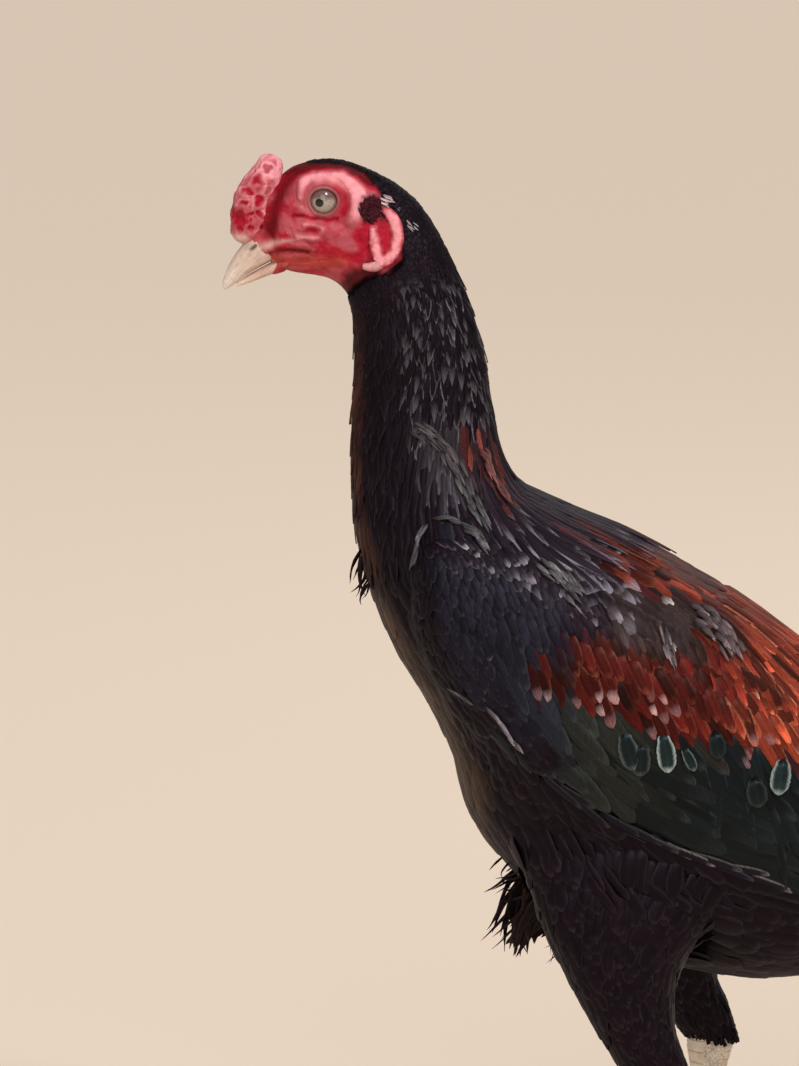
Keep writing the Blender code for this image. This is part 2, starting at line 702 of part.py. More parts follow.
def make_shank(side_name, side, thigh):
    """The scaled shank, from inside the hock's feathers to the foot's pad with its flat sole."""
    hock, foot = leg_frame(side_name, side)
    ankle = foot + Vector((0.0, 0.0, FOOT_HEIGHT * MM))
    top = hock + (hock - ankle).normalized() * HOCK_SUNK * MM
    axis = (ankle - top).normalized()
    front = Vector((0.0, 1.0, 0.0)).cross(axis).normalized()
    bm = bmesh.new()
    rings = []
    around = 10
    for share, half_depth, half_width in SHANK_PROFILE:
        centre = top.lerp(ankle, share)
        rings.append([bm.verts.new(
            centre + front * math.cos(a) * half_depth * MM + Vector((0, 1, 0)) * math.sin(a) * half_width * MM
        ) for a in (2 * math.pi * j / around for j in range(around))])
    for low, high in zip(rings, rings[1:]):
        for j in range(around):
            bm.faces.new((low[j], low[(j + 1) % around], high[(j + 1) % around], high[j]))
    for ring in (rings[0], rings[-1]):
        bm.faces.new(ring)
    shank = new_object(f"shank_{side_name}", bm)
    pad = floor_ball(foot, (15.0, 13.0, 13.0))
    combine(shank, [pad], "UNION")
    return clear_of(shank, [thigh])


def floor_ball(foot, radii):
    """A flattened ball on the floor with a flat sole."""
    made = ball("pad", foot + Vector((0.0, 0.0, radii[2] * 0.55 * MM)), radii, segments=10, rings=6)
    for vert in made.data.vertices:
        vert.co.z = max(vert.co.z, 0.0)
    bm = bmesh.new()
    bm.from_mesh(made.data)
    bmesh.ops.remove_doubles(bm, verts=bm.verts, dist=0.02 * MM)
    bmesh.ops.dissolve_degenerate(bm, edges=bm.edges, dist=0.01 * MM)
    bm.to_mesh(made.data)
    bm.free()
    return made


def toe_ring(bm, centre, forward, half_width, height, floor_share, around=8):
    """One ring across a toe: round above, flat where it meets the floor."""
    across = Vector((-forward.y, forward.x, 0.0))
    ring = []
    for j in range(around):
        angle = 2 * math.pi * (j + 0.5) / around
        lift = height * (0.5 + 0.5 * math.cos(angle)) + floor_share
        spread_share = math.copysign(abs(math.sin(angle)) ** 0.8, math.sin(angle))
        if math.cos(angle) < -0.55:
            lift = floor_share
        out = across * half_width * spread_share * MM
        ring.append(bm.verts.new(centre + out + Vector((0, 0, lift * MM))))
    return ring


def swept(name, rings):
    """A closed solid through rings of one size."""
    bm, loops = rings
    count = len(loops[0])
    for low, high in zip(loops, loops[1:]):
        for j in range(count):
            bm.faces.new((low[j], low[(j + 1) % count], high[(j + 1) % count], high[j]))
    for ring in (loops[0], loops[-1]):
        middle = bm.verts.new(sum((p.co for p in ring), Vector()) / count)
        for j in range(count):
            bm.faces.new((ring[j], ring[(j + 1) % count], middle))
    return new_object(name, bm)


def make_toe(side_name, side, toe_name, shank, earlier):
    """One toe with its pads on the floor, and its claw."""
    heading, length, claw_length, half_width = TOES[toe_name]
    _, foot = leg_frame(side_name, side)
    angle = math.radians(heading)
    forward = Vector((-math.cos(angle), side * math.sin(angle), 0.0))
    start, stations = 6.0, 6
    bm = bmesh.new()
    loops = []
    for k in range(stations):
        share = k / (stations - 1)
        knuckle = 1.0 + 0.13 * math.cos(share * 3 * 2 * math.pi)
        width = half_width * (1.0 - 0.28 * share) * knuckle * (0.72 if k == stations - 1 else 1.0)
        height = (12.0 - 3.6 * share) * (0.94 + 0.06 * knuckle) * (0.8 if k == stations - 1 else 1.0)
        centre = foot + forward * (start + (length - start) * share) * MM
        loops.append(toe_ring(bm, centre, forward, width, height, 0.0))
    toe = swept(f"{toe_name}_{side_name}", (bm, loops))
    clear_of(toe, [shank, *earlier])
    claw = make_claw(f"claw_{toe_name[4:]}_{side_name}", foot, forward, length, claw_length, half_width)
    clear_of(claw, [toe])
    return toe, claw


def make_claw(name, foot, forward, toe_length, claw_length, half_width):
    """A curved claw out of a toe's end, its tip just off the floor."""
    bm = bmesh.new()
    loops = []
    stations = 5
    for k in range(stations):
        share = k / (stations - 1)
        centre = foot + forward * (toe_length - 4.0 + (claw_length + 4.0) * share) * MM
        width = half_width * 0.52 * (1.0 - share) ** 0.7 + 0.35
        height = 5.4 * (1.0 - share) ** 0.8 + 0.7
        lift = 2.3 * math.cos(share * math.pi / 2) + 0.35
        loops.append(toe_ring(bm, centre, forward, width, height, lift, around=6))
    return swept(name, (bm, loops))


def make_spur(side_name, side, shank):
    """The spur on the shank's inner rear side."""
    hock, foot = leg_frame(side_name, side)
    root = foot.lerp(hock, 0.36)
    out = Vector((0.62, -0.62 * side, 0.10)).normalized()
    shares = spread(0.0, 1.0, 5)
    points = [root + (out * (3.0 + 22.0 * t) + Vector((0, 0, 2.6 * t**2))) * MM for t in shares]
    bm = bmesh.new()
    loops = []
    side_way = out.cross(Vector((0, 0, 1))).normalized()
    up_way = side_way.cross(out)
    for point, share in zip(points, shares):
        radius = 4.6 * (1 - share) ** 0.75 + 0.5
        loops.append([bm.verts.new(point + (side_way * math.cos(a) + up_way * math.sin(a)) * radius * MM)
                      for a in (2 * math.pi * j / 7 for j in range(7))])
    return clear_of(swept(f"spur_{side_name}", (bm, loops)), [shank])


UPPER_BILL = (
    (-150, 574, -138, 557.5, 10.0), (-159, 567, -148, 552.5, 9.2), (-166.5, 557.5, -157, 547.5, 7.6),
    (-171.8, 549, -164.5, 542.8, 5.2), (-174.6, 541.5, -170.5, 538.2, 2.7),
    (-174.9, 537.2, -174.0, 536.3, 0.8),
)
LOWER_BILL = (
    (-138, 556.4, -143, 547, 9.0), (-148, 551.6, -151, 544, 8.0), (-156.5, 547, -157.5, 541.4, 6.2),
    (-163.5, 542.8, -163, 539.4, 4.0), (-168, 539.6, -167.4, 538.2, 1.6),
)


# Folds of bare skin on each side of the face, in side view: points x, z, then the fold's radius.
FACE_FOLDS = (
    (((-139, 590), (-131, 598), (-116, 600), (-106, 592), (-105, 580)), 3.4),
    (((-140, 579), (-129, 573.5), (-115, 574.5)), 2.2),
    (((-124, 556), (-106, 557)), 2.4),
)
# How far a fold's middle line is sunk in the face, as a share of its radius.
FOLD_SUNK = 0.2
EAR_VANES = 2
MOUTH_LINE = ((-150, 552.0), (-143, 555.0), (-136, 557.5), (-129, 559.5))
NOSTRIL = (-159.5, 8.6, 559.0)
NOSTRIL_RADII = (2.4, 1.6, 1.0)


def on_side(tree, x, z, side, out=0.0):
    """The place on a form's side at x, z, moved outwards by some millimetres."""
    hit, _, _, _ = tree.ray_cast(at_plan(x, 100.0 * side, z), Vector((0.0, -side, 0.0)))
    return hit + Vector((0.0, side * out * MM, 0.0))


def make_head(body):
    """The head: bare face with its folds, lids, mouth line and ear tuft, and a socket for each eye."""
    head = loft("head", body, spread(0.0, HEAD_END, 11), 18, ends=(0.0, GAP / 2))
    x, y, z = EYE
    face = tree_of([head])
    added, grooves, eyes = [], [], []
    for side_name, side in SIDES:
        centre = at_plan(x, y * side, z)
        eyes.append(ball(f"eye_{side_name}", centre, (EYE_RADIUS,) * 3, segments=12, rings=8))
        bpy.ops.mesh.primitive_torus_add(
            major_radius=LID_RADIUS * MM, minor_radius=1.9 * MM, major_segments=14, minor_segments=5,
            location=centre + Vector((0.0, side * 5.0 * MM, 0.0)), rotation=(math.radians(90), 0.0, 0.0),
        )
        lid = bpy.context.object
        lid.data.transform(lid.matrix_world)
        lid.matrix_world = Matrix.Identity(4)
        added.append(lid)
        for points, radius in FACE_FOLDS:
            line = [on_side(face, *point, side, -FOLD_SUNK * radius) for point in points]
            added.append(tube("fold", line, radius, sides=1))
        ear = on_side(face, *EAR, side, -0.5)
        added.append(ball("ear", ear, (6.0, 3.6, 6.5), segments=8, rings=6))
        for k in range(EAR_VANES):
            start = ear + Vector((-3.0, 1.5 * side, 4.0 - 4.0 * k)) * MM
            back = [start + Vector((t * 7.0 * MM, side * t * MM, -0.8 * k * t * MM)) for t in range(3)]
            added.append(vane(back, [Vector((0.0, side, 0.0))] * 3, outline(2, 0.5, 2.4)))
        mouth = [on_side(face, *point, side) for point in MOUTH_LINE]
        grooves.append(tube("mouth_line", mouth, 0.7, sides=1))
    combine(head, added, "UNION")
    combine(head, [swollen(eye, GAP) for eye in eyes] + grooves, "DIFFERENCE")
    return head, eyes


def make_bills(head):
    """Upper and lower bill, with the line of the mouth between them."""
    made = []
    for name, rings in (("bill_upper", UPPER_BILL), ("bill_lower", LOWER_BILL)):
        form = Form(rings, 2.2)
        bill = loft(name, form, spread(0.0, form.last, 7), 10)
        made.append(clear_of(bill, [head]))
    nostrils = []
    for _, side in SIDES:
        place = at_plan(NOSTRIL[0], NOSTRIL[1] * side, NOSTRIL[2])
        nostrils.append(ball("nostril", place, NOSTRIL_RADII, turn=25.0, segments=8, rings=4))
    combine(made[0], nostrils, "DIFFERENCE")
    return made


COMB_ROWS = ((-6.8, 4.2), (0.0, 5.0), (6.8, 4.2))
COMB_BULBS = 5


def make_comb(head, bills):
    """The pea comb: a low core under three rows of bulbs, the middle row the highest."""
    foot, top = at_plan(COMB_FOOT[0], 0.0, COMB_FOOT[1]), at_plan(COMB_TOP[0], 0.0, COMB_TOP[1])
    lean = math.degrees(math.atan2(COMB_TOP[0] - COMB_FOOT[0], COMB_TOP[1] - COMB_FOOT[1]))
    comb = ball("comb", (foot + top) / 2, (8.2, 8.5, 21.5), turn=lean, segments=8, rings=5)
    front = Vector((-math.cos(math.radians(lean)), 0.0, math.sin(math.radians(lean))))
    bulbs = []
    for row, (across, radius) in enumerate(COMB_ROWS):
        for k in range(COMB_BULBS):
            share = (k + 0.5) / COMB_BULBS
            swell = math.sin(math.pi * (0.12 + 0.76 * share))
            centre = foot.lerp(top, share) + front * (4.6 - 0.045 * across**2) * swell * MM
            centre += Vector((0.0, across * (0.55 + 0.45 * swell) * MM, 0.0))
            size = radius * (0.72 + 0.28 * swell) * (1 + 0.10 * math.sin(3.7 * k + 2.3 * row))
            bulbs.append(ball("bulb", centre, (size, size, size * 1.05), segments=6, rings=5))
    combine(comb, bulbs, "UNION")
    return clear_of(comb, [head, *bills])


# The lobe's raised rim in side view, round its hollow: x and z from the lobe's middle.
LOBE_RIM = ((-6.5, 8.0), (1.0, 14.0), (8.5, 6.0), (6.5, -8.0), (-3.5, -14.5), (-13.0, -10.0))


def make_lobe(side_name, side, neighbours):
    """One ear lobe: a flat oval of skin with a thick folded rim that runs on under the cheek."""
    lobe = ball(f"earlobe_{side_name}", at_plan(LOBE[0], 20.0 * side, LOBE[1]), (9.5, 4.0, 14.0), turn=-8.0,
                segments=10, rings=6)
    rim = [at_plan(LOBE[0] + x, 22.0 * side, LOBE[1] + z) for x, z in LOBE_RIM]
    fold = [at_plan(LOBE[0] + x, 22.6 * side, LOBE[1] + z) for x, z in ((-2.0, 5.0), (-2.0, -7.0))]
    combine(lobe, [tube("rim", rim, 2.8, sides=1), tube("fold", fold, 1.8, sides=1)], "UNION")
    return clear_of(lobe, neighbours, LOBE_GAP)


SKIN_RED, HORN, SCALES = (0.62, 0.03, 0.05), (0.60, 0.52, 0.42), (0.60, 0.52, 0.40)
BLACK, MAHOGANY, GREEN_BLACK = (0.012, 0.010, 0.011), (0.10, 0.015, 0.008), (0.008, 0.014, 0.012)
# First word of a node's name: its colour and roughness.
COLOURS = {
    "comb": (SKIN_RED, 0.5), "head": (SKIN_RED, 0.5), "earlobe": (SKIN_RED, 0.5),
    "bill": ((0.72, 0.60, 0.48), 0.35), "eye": ((0.60, 0.58, 0.48), 0.08),
    "neck": (BLACK, 0.5), "torso": (BLACK, 0.5), "thigh": (BLACK, 0.6),
    "wing": (MAHOGANY, 0.45), "tail": (GREEN_BLACK, 0.4),
    "shank": (SCALES, 0.5), "toe": (SCALES, 0.5), "claw": (HORN, 0.35), "spur": (HORN, 0.35),
}


def finish(group):
    """Puts every node in the model's collection with its material."""
    made = {key: material(key, colour, roughness) for key, (colour, roughness) in COLOURS.items()}
    for obj in list(bpy.context.scene.collection.objects):
        bpy.context.scene.collection.objects.unlink(obj)
        group.objects.link(obj)
        key = obj.name.split("_")[0]
        obj.data.materials.clear()
        obj.data.materials.append(made[key])


BODY = Form(BODY_RINGS, BODY_FULLNESS, BODY_WIDE_HIGH)


def main():
    """Builds the bird node by node, each clear of what it grows from."""
    group = clear_scene()
    torso = make_torso(BODY)
    neck_upper, neck_lower = make_neck(BODY)
    wings = [make_wing(side_name, side, [torso, neck_lower]) for side_name, side in SIDES]
    tail = make_tail(torso)
    clear_of(tail, wings, WING_GAP)
    feather_torso(BODY, torso, wings, tail)
    feather_neck(BODY, neck_upper, neck_lower, torso, wings)
    for (side_name, side), wing in zip(SIDES, wings):
        thigh = make_thigh(side_name, side, torso)
        clear_of(thigh, [wing], WING_GAP)
        shank = make_shank(side_name, side, thigh)
        make_spur(side_name, side, shank)
        earlier = []
        for toe_name in TOES:
            toe, _ = make_toe(side_name, side, toe_name, shank, earlier)
            earlier.append(toe)
    head, _ = make_head(BODY)
    bills = make_bills(head)
    make_comb(head, bills)
    for side_name, side in SIDES:
        make_lobe(side_name, side, [head, neck_upper])
    finish(group)


if __name__ == "__main__":
    main()
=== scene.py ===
"""Aseel rooster: one skin with its bare face, feathers, comb, lobes, bill, eyes and legs.

Every place is worked out in millimetres in the bird's own plan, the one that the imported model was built
from, and put in the frame at the end. x runs from the bill to the tail, the left side is negative y.
"""

import math

import bmesh
import bpy
import numpy as np
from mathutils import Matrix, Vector
from mathutils.bvhtree import BVHTree


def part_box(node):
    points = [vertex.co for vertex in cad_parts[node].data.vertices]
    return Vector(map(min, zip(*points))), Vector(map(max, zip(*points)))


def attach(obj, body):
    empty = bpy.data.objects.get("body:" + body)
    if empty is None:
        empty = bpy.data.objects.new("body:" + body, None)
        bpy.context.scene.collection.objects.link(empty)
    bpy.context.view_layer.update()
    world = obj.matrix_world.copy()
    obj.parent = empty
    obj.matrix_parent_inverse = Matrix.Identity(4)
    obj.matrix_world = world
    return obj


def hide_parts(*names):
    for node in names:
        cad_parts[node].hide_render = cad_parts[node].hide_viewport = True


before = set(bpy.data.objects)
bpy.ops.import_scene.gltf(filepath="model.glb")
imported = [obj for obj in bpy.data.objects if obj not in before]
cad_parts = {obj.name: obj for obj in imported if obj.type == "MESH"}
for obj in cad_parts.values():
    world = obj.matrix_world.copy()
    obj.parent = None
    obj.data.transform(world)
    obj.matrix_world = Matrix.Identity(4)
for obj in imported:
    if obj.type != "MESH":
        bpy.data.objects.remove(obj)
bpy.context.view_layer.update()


def vec(*values):
    """A short array: a direction, a place or a colour."""
    return np.array(values)


MM = 0.001
SIDES = (("left", -1.0), ("right", 1.0))
EYE = (-122.5, 12.0, 584.5)
EYE_LOW, EYE_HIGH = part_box("eye_left")
SHIFT = round((EYE_LOW.x + EYE_HIGH.x) / 2 / MM - EYE[0], 1)
EYE_RADIUS = 8.5
UP, ACROSS = vec(0.0, 0.0, 1.0), vec(0.0, 1.0, 0.0)

# Rings from the face to the tail base: back edge x, z, lower edge x, z, and half the width.
BODY_RINGS = (
    (-155, 581, -152, 553, 8.0), (-148, 592, -149, 550, 11.5), (-139, 600, -145, 548, 15.0),
    (-127, 604, -139, 546, 17.8), (-114, 604, -133, 545, 19.5), (-99, 599, -126, 544, 20.5),
    (-83, 590, -119, 542, 20.5), (-70, 577, -113, 537, 21.0), (-57, 555, -109, 525, 23.5),
    (-46, 529, -108, 508, 25.0), (-39, 503, -108, 490, 26.0), (-35, 476, -109, 471, 27.0),
    (-32, 457, -109, 450, 29.0), (-27, 444, -108, 426, 33.0), (-20, 435, -105, 403, 41.0),
    (-8, 429, -98, 374, 51.0), (10, 421, -86, 346, 61.0), (34, 411, -70, 320, 69.0),
    (62, 396, -57, 292, 74.0), (91, 378, -47, 261, 76.0), (117, 359, -27, 234, 75.0),
    (140, 340, 3, 208, 72.0), (161, 320, 42, 187, 66.0), (179, 302, 86, 176, 57.0),
    (195, 285, 127, 176, 46.0), (207, 271, 160, 190, 33.0), (214, 261, 185, 211, 20.0),
)
# Places along those rings: where the head's finer grid ends, where the wings start, and the last ring.
HEAD_END, WING_START, BODY_END = 7.2, 12.0, 26.0
# The folded wing from wrist to tip: top edge x, z and bottom edge x, z.
WING_EDGES = (
    (-70, 410, -76, 392), (-58, 414, -72, 360), (-36, 412, -55, 325), (-8, 403, -26, 298),
    (26, 387, 5, 274), (62, 369, 42, 253), (99, 345, 83, 237), (133, 321, 125, 223),
    (161, 295, 157, 213), (185, 268, 184, 207), (200, 241, 203, 208),
)
# Rings of both thighs as the body's, with the distance of their middle from the bird's plane.
THIGH_RINGS = {
    "left": (
        (-22, 264, 100, 252, 24.0, 38.0), (-18, 234, 88, 222, 27.0, 44.0), (-7, 202, 64, 190, 25.0, 47.0),
        (11, 166, 60, 160, 20.0, 48.0), (28, 138, 67, 137, 15.5, 48.0), (40, 124, 72, 125, 12.5, 48.0),
    ),
    "right": (
        (6, 264, 124, 248, 24.0, 38.0), (8, 234, 108, 216, 27.0, 44.0), (20, 202, 88, 190, 25.0, 47.0),
        (37, 171, 85, 168, 20.0, 48.0), (54, 147, 92, 149, 15.5, 48.0), (65, 133, 96, 136, 12.5, 48.0),
    ),
}
HOCK = {"left": (56.0, 112.0), "right": (81.0, 121.0)}
FOOT_X = {"left": 8.0, "right": 74.0}
LEG_Y, HOCK_SUNK, FOOT_HEIGHT = 48.0, 15.0, 11.0
TAIL_ROOT = (198.0, 240.0)
# Toes: heading in degrees from straight ahead, length, the claw's length and half the width.
TOES = {
    "back": (186.0, 27.0, 12.0, 5.0), "inner": (-36.0, 50.0, 14.0, 5.8),
    "middle": (3.0, 68.0, 16.0, 6.4), "outer": (40.0, 53.0, 13.0, 5.6),
}
# Rings of the bill's halves from the face to the tip, as the body's.
UPPER_BILL = (
    (-150, 574, -138, 557.5, 10.0), (-159, 567, -148, 552.5, 9.2), (-166.5, 557.5, -157, 547.5, 7.6),
    (-171.8, 549, -164.5, 542.8, 5.2), (-174.6, 541.5, -170.5, 538.2, 2.7),
    (-174.9, 537.2, -174.0, 536.3, 0.8),
)
LOWER_BILL = (
    (-138, 556.4, -143, 547, 9.0), (-148, 551.6, -151, 544, 8.0), (-156.5, 547, -157.5, 541.4, 6.2),
    (-163.5, 542.8, -163, 539.4, 4.0), (-168, 539.6, -167.4, 538.2, 1.6),
)


def dot(a, b):
    """Scalar products of the arrays' last axis."""
    return np.sum(a * b, axis=-1)


def unit(a):
    """The same directions with a length of 1."""
    return a / np.maximum(np.linalg.norm(a, axis=-1), 1e-9)[..., None]


def smooth(x, low, high):
    """0 below low, 1 above high and smooth between."""
    t = np.clip((x - low) / (high - low), 0.0, 1.0)
    return t * t * (3.0 - 2.0 * t)


def blend(a, b, share):
    """From colour a at a share of 0 to colour b at 1."""
    return a + (b - a) * share[..., None]


def bell(distance, width):
    """1 at no distance, and falling off over a width."""
    return np.exp(-((distance / width) ** 2))


def varied(rng, count, spread, middle=0.0):
    """Random factors about 1, in a column."""
    return np.exp(rng.normal(middle, spread, count))[:, None]


def every(count, colour):
    """The same colour for each of count feathers."""
    return np.tile(colour, (count, 1))


def opaque(colour):
    """Colours with a fourth number, 1."""
    return np.concatenate([colour, np.ones((*colour.shape[:-1], 1))], axis=-1)


def crossed(first, second):
    """Every value of one list with every value of another, as two grids."""
    return np.meshgrid(first, second, indexing="ij")


def circle(count, low=0.0, high=1.0):
    """Even steps round a ring, without its first place again at the end."""
    return np.linspace(low, high, count, endpoint=False)


def run_along(line):
    """The distance of each point of a line from its start, along it."""
    return np.concatenate([[0.0], np.cumsum(np.linalg.norm(np.diff(line, axis=0), axis=1))])


def noise(points, size, seed):
    """Smooth noise from -1 to 1 over places in millimetres, its bumps size wide."""
    p = np.asarray(points, float) / size + 1000.0
    cell = np.floor(p).astype(np.int64)
    f = p - cell
    f = f * f * (3.0 - 2.0 * f)
    total = np.zeros(p.shape[:-1])
    for corner in range(8):
        bits = np.array([corner & 1, corner >> 1 & 1, corner >> 2 & 1])
        c = cell + bits
        h = (c[..., 0] * 73856093) ^ (c[..., 1] * 19349663) ^ (c[..., 2] * 83492791) ^ (seed * 9176263)
        h = ((h ^ (h >> 13)) * 1274126177) & 0xFFFFFFFF
        value = ((h ^ (h >> 16)) & 0xFFFF) / 32767.5 - 1.0
        total += value * np.prod(np.where(bits, f, 1.0 - f), axis=-1)
    return total


def smooth_rows(rows, place):
    """Rows of numbers at places between them, on a smooth curve."""
    last = len(rows) - 1
    place = np.clip(np.asarray(place, float), 0.0, last)
    i = np.minimum(place.astype(int), last - 1)
    t = (place - i)[..., None]
    before, here = rows[np.maximum(i - 1, 0)], rows[i]
    after, beyond = rows[i + 1], rows[np.minimum(i + 2, last)]
    return 0.5 * (
        2 * here + (after - before) * t + (2 * before - 5 * here + 4 * after - beyond) * t**2
        + (3 * here - before - 3 * after + beyond) * t**3
    )


class Form:
    """A rounded form between two edge lines in side view. u counts rings, v is the turn from 0 to 1
    round a ring, from the first edge by the left side to the second."""

    def __init__(self, rings, fullness, wide_high=0.0, side=0.0):
        self.rows = np.array([(*r[:5], r[5] if len(r) > 5 else 0.0) for r in rings], float)
        self.last = len(rings) - 1.0
        self.power = 2.0 / fullness
        self.wide_high = wide_high
        self.side = side

    def at(self, u, v):
        """Points of the surface."""
        ax, az, bx, bz, half_width, middle = np.moveaxis(smooth_rows(self.rows, u), -1, 0)
        angle = 2 * np.pi * np.asarray(v, float)
        c, s = np.cos(angle), np.sin(angle)
        rise = np.sign(c) * np.abs(c) ** self.power + self.wide_high * s * s
        across = -np.sign(s) * np.abs(s) ** self.power
        x = (ax + bx) / 2 + (ax - bx) / 2 * rise
        z = (az + bz) / 2 + (az - bz) / 2 * rise
        return np.stack([x, middle * self.side + half_width * across, z], axis=-1)

    def slopes(self, u, v):
        """How points move with u and with v."""
        low, high = np.maximum(u - 0.02, 0.0), np.minimum(u + 0.02, self.last)
        along = (self.at(high, v) - self.at(low, v)) / (high - low)[..., None]
        around = (self.at(u, v + 0.01) - self.at(u, v - 0.01)) / 0.02
        return along, around

    def normal(self, u, v):
        """Outward directions there."""
        along, around = self.slopes(u, v)
        out = unit(np.cross(around, along))
        turned = dot(out, self.at(u, v) - self.at(u, v + 0.5)) < 0
        return np.where(turned[..., None], -out, out)


BODY = Form(BODY_RINGS, 2.25, 0.10)
THIGHS = {name: Form(THIGH_RINGS[name], 2.0, side=side) for name, side in SIDES}


def wing_place(x, z):
    """Where points in side view lie on the folded wing: from wrist to tip, and from top to bottom edge."""
    rows = np.array(WING_EDGES, float)
    low, high = np.full(x.shape, -0.08), np.full(x.shape, 1.08)

    def edges(s):
        """Both edges at a share of the wing's length, straight on past its ends."""
        inside = smooth_rows(rows, s * (len(rows) - 1))
        start = (rows[1] - rows[0]) * (len(rows) - 1)
        end = (rows[-1] - rows[-2]) * (len(rows) - 1)
        inside = inside + np.minimum(s, 0.0)[..., None] * start + np.maximum(s - 1.0, 0.0)[..., None] * end
        return np.moveaxis(inside, -1, 0)

    for _ in range(22):
        s = (low + high) / 2
        tx, tz, bx, bz = edges(s)
        ahead = (bx - tx) * (z - tz) - (bz - tz) * (x - tx) > 0
        low, high = np.where(ahead, s, low), np.where(ahead, high, s)
    tx, tz, bx, bz = edges(s)
    down = ((x - tx) * (bx - tx) + (z - tz) * (bz - tz)) / ((bx - tx) ** 2 + (bz - tz) ** 2)
    return s, down


def wing_depth(s, down):
    """How far the wing's flesh stands out from the body."""
    s, down = np.clip(s, 0.0, 1.0), np.clip(down, 0.0, 1.0)
    body = 8.0 + 4.0 * bell(s - 0.1, 0.14)
    front = np.minimum(1.0, s / 0.07) ** 0.5
    back = np.minimum(1.0, (1.0 - s) / 0.30) ** 0.6
    return body * front * back * np.clip(4 * down * (1 - down), 0.0, 1.0) ** 0.45


def between_cells(grid, u, v):
    """The values of a grid at places from 0 to 1 along and across it."""
    columns, rows = grid.shape[0] - 1, grid.shape[1] - 1
    x, y = np.clip(u, 0.0, 1.0) * columns, np.clip(v, 0.0, 1.0) * rows
    i, j = np.minimum(x.astype(int), columns - 1), np.minimum(y.astype(int), rows - 1)
    a, b = (x - i)[..., None], (y - j)[..., None]
    low = grid[i, j] * (1 - b) + grid[i, j + 1] * b
    return low * (1 - a) + (grid[i + 1, j] * (1 - b) + grid[i + 1, j + 1] * b) * a


class Pad:
    """The folded wing's outer surface. u runs from wrist to tip, v from the top edge to the bottom edge."""

    def __init__(self, side):
        columns, rows = 90, 30
        self.last = 1.0
        body_u, body_v = crossed(np.linspace(WING_START, BODY_END, 120), np.linspace(0.0, 1.0, 97))
        tree = tree_of(BODY.at(body_u, body_v))
        edges = smooth_rows(np.array(WING_EDGES, float), np.linspace(0.0, len(WING_EDGES) - 1.0, columns + 1))
        share = np.linspace(0.0, 1.0, rows + 1)
        x = edges[:, :1] + (edges[:, 2:3] - edges[:, :1]) * share
        z = edges[:, 1:2] + (edges[:, 3:] - edges[:, 1:2]) * share
        y = np.zeros_like(x)
        for i in range(columns + 1):
            for j in range(rows + 1):
                hit = tree.ray_cast(Vector((x[i, j], 300.0 * side, z[i, j])), Vector((0.0, -side, 0.0)))[0]
                y[i, j] = hit.y if hit else y[i - 1, j]
        s, down = crossed(np.linspace(0.0, 1.0, columns + 1), share)
        y = y + side * wing_depth(s, down)
        self.grid = np.stack([x, y, z], axis=-1)
        along, around = np.gradient(self.grid, axis=0), np.gradient(self.grid, axis=1)
        out = unit(np.cross(along, around))
        out = np.where((out[..., 1:2] * side) > 0, out, -out)
        for _ in range(6):
            padded = np.pad(out, ((1, 1), (1, 1), (0, 0)), mode="edge")
            out = unit(padded[:-2, 1:-1] + padded[2:, 1:-1] + padded[1:-1, :-2] + padded[1:-1, 2:] + out)
        self.out = out

    def at(self, u, v):
        """Points of the surface."""
        return between_cells(self.grid, u, v)

    def normal(self, u, v):
        """Outward directions there."""
        return unit(between_cells(self.out, u, v))

    def slopes(self, u, v):
        """How points move with u and with v."""
        low, high = np.clip(u - 0.03, 0.0, 0.97), np.clip(u + 0.03, 0.03, 1.0)
        up, down = np.clip(v - 0.03, 0.0, 0.97), np.clip(v + 0.03, 0.03, 1.0)
        along = (self.at(high, v) - self.at(low, v)) / (high - low)[..., None]
        around = (self.at(u, down) - self.at(u, up)) / (down - up)[..., None]
        return along, around


def tree_of(grid):
    """A search tree over a grid of points."""
    n, m = grid.shape[:2]
    i, j = crossed(np.arange(n - 1), np.arange(m - 1))
    first = (i * m + j).ravel()
    quads = np.stack([first, first + 1, first + m + 1, first + m], axis=1)
    return BVHTree.FromPolygons(grid.reshape(-1, 3).tolist(), quads.tolist())


def walk(form, u, v, heading, strides):
    """Paths over a form from places u, v. heading is in degrees from rising u towards rising v, strides
    the lengths of the steps. Past the form's end a path runs on straight."""
    points, normals = [form.at(u, v)], [form.normal(u, v)]
    turn = np.radians(heading)[:, None]
    for k in range(strides.shape[1]):
        along, around = form.slopes(u, v)
        e1 = unit(along)
        e2 = unit(around - e1 * dot(around, e1)[:, None])
        move = (e1 * np.cos(turn) + e2 * np.sin(turn)) * strides[:, k:k + 1]
        dv = dot(move, e2) / dot(around, e2)
        du = dot(move - around * dv[:, None], e1) / np.linalg.norm(along, axis=-1)
        past = (u + du > form.last)[:, None]
        straight = points[-1] - points[-2] if len(points) > 1 else move
        straight = unit(straight * vec(1.0, 0.3, 1.0)) * strides[:, k:k + 1]
        u, v = np.where(past[:, 0], u, u + du), np.where(past[:, 0], v, v + dv)
        points.append(np.where(past, points[-1] + straight, form.at(u, v)))
        normals.append(np.where(past, normals[-1], form.normal(u, v)))
    return np.stack(points, axis=1), np.stack(normals, axis=1)


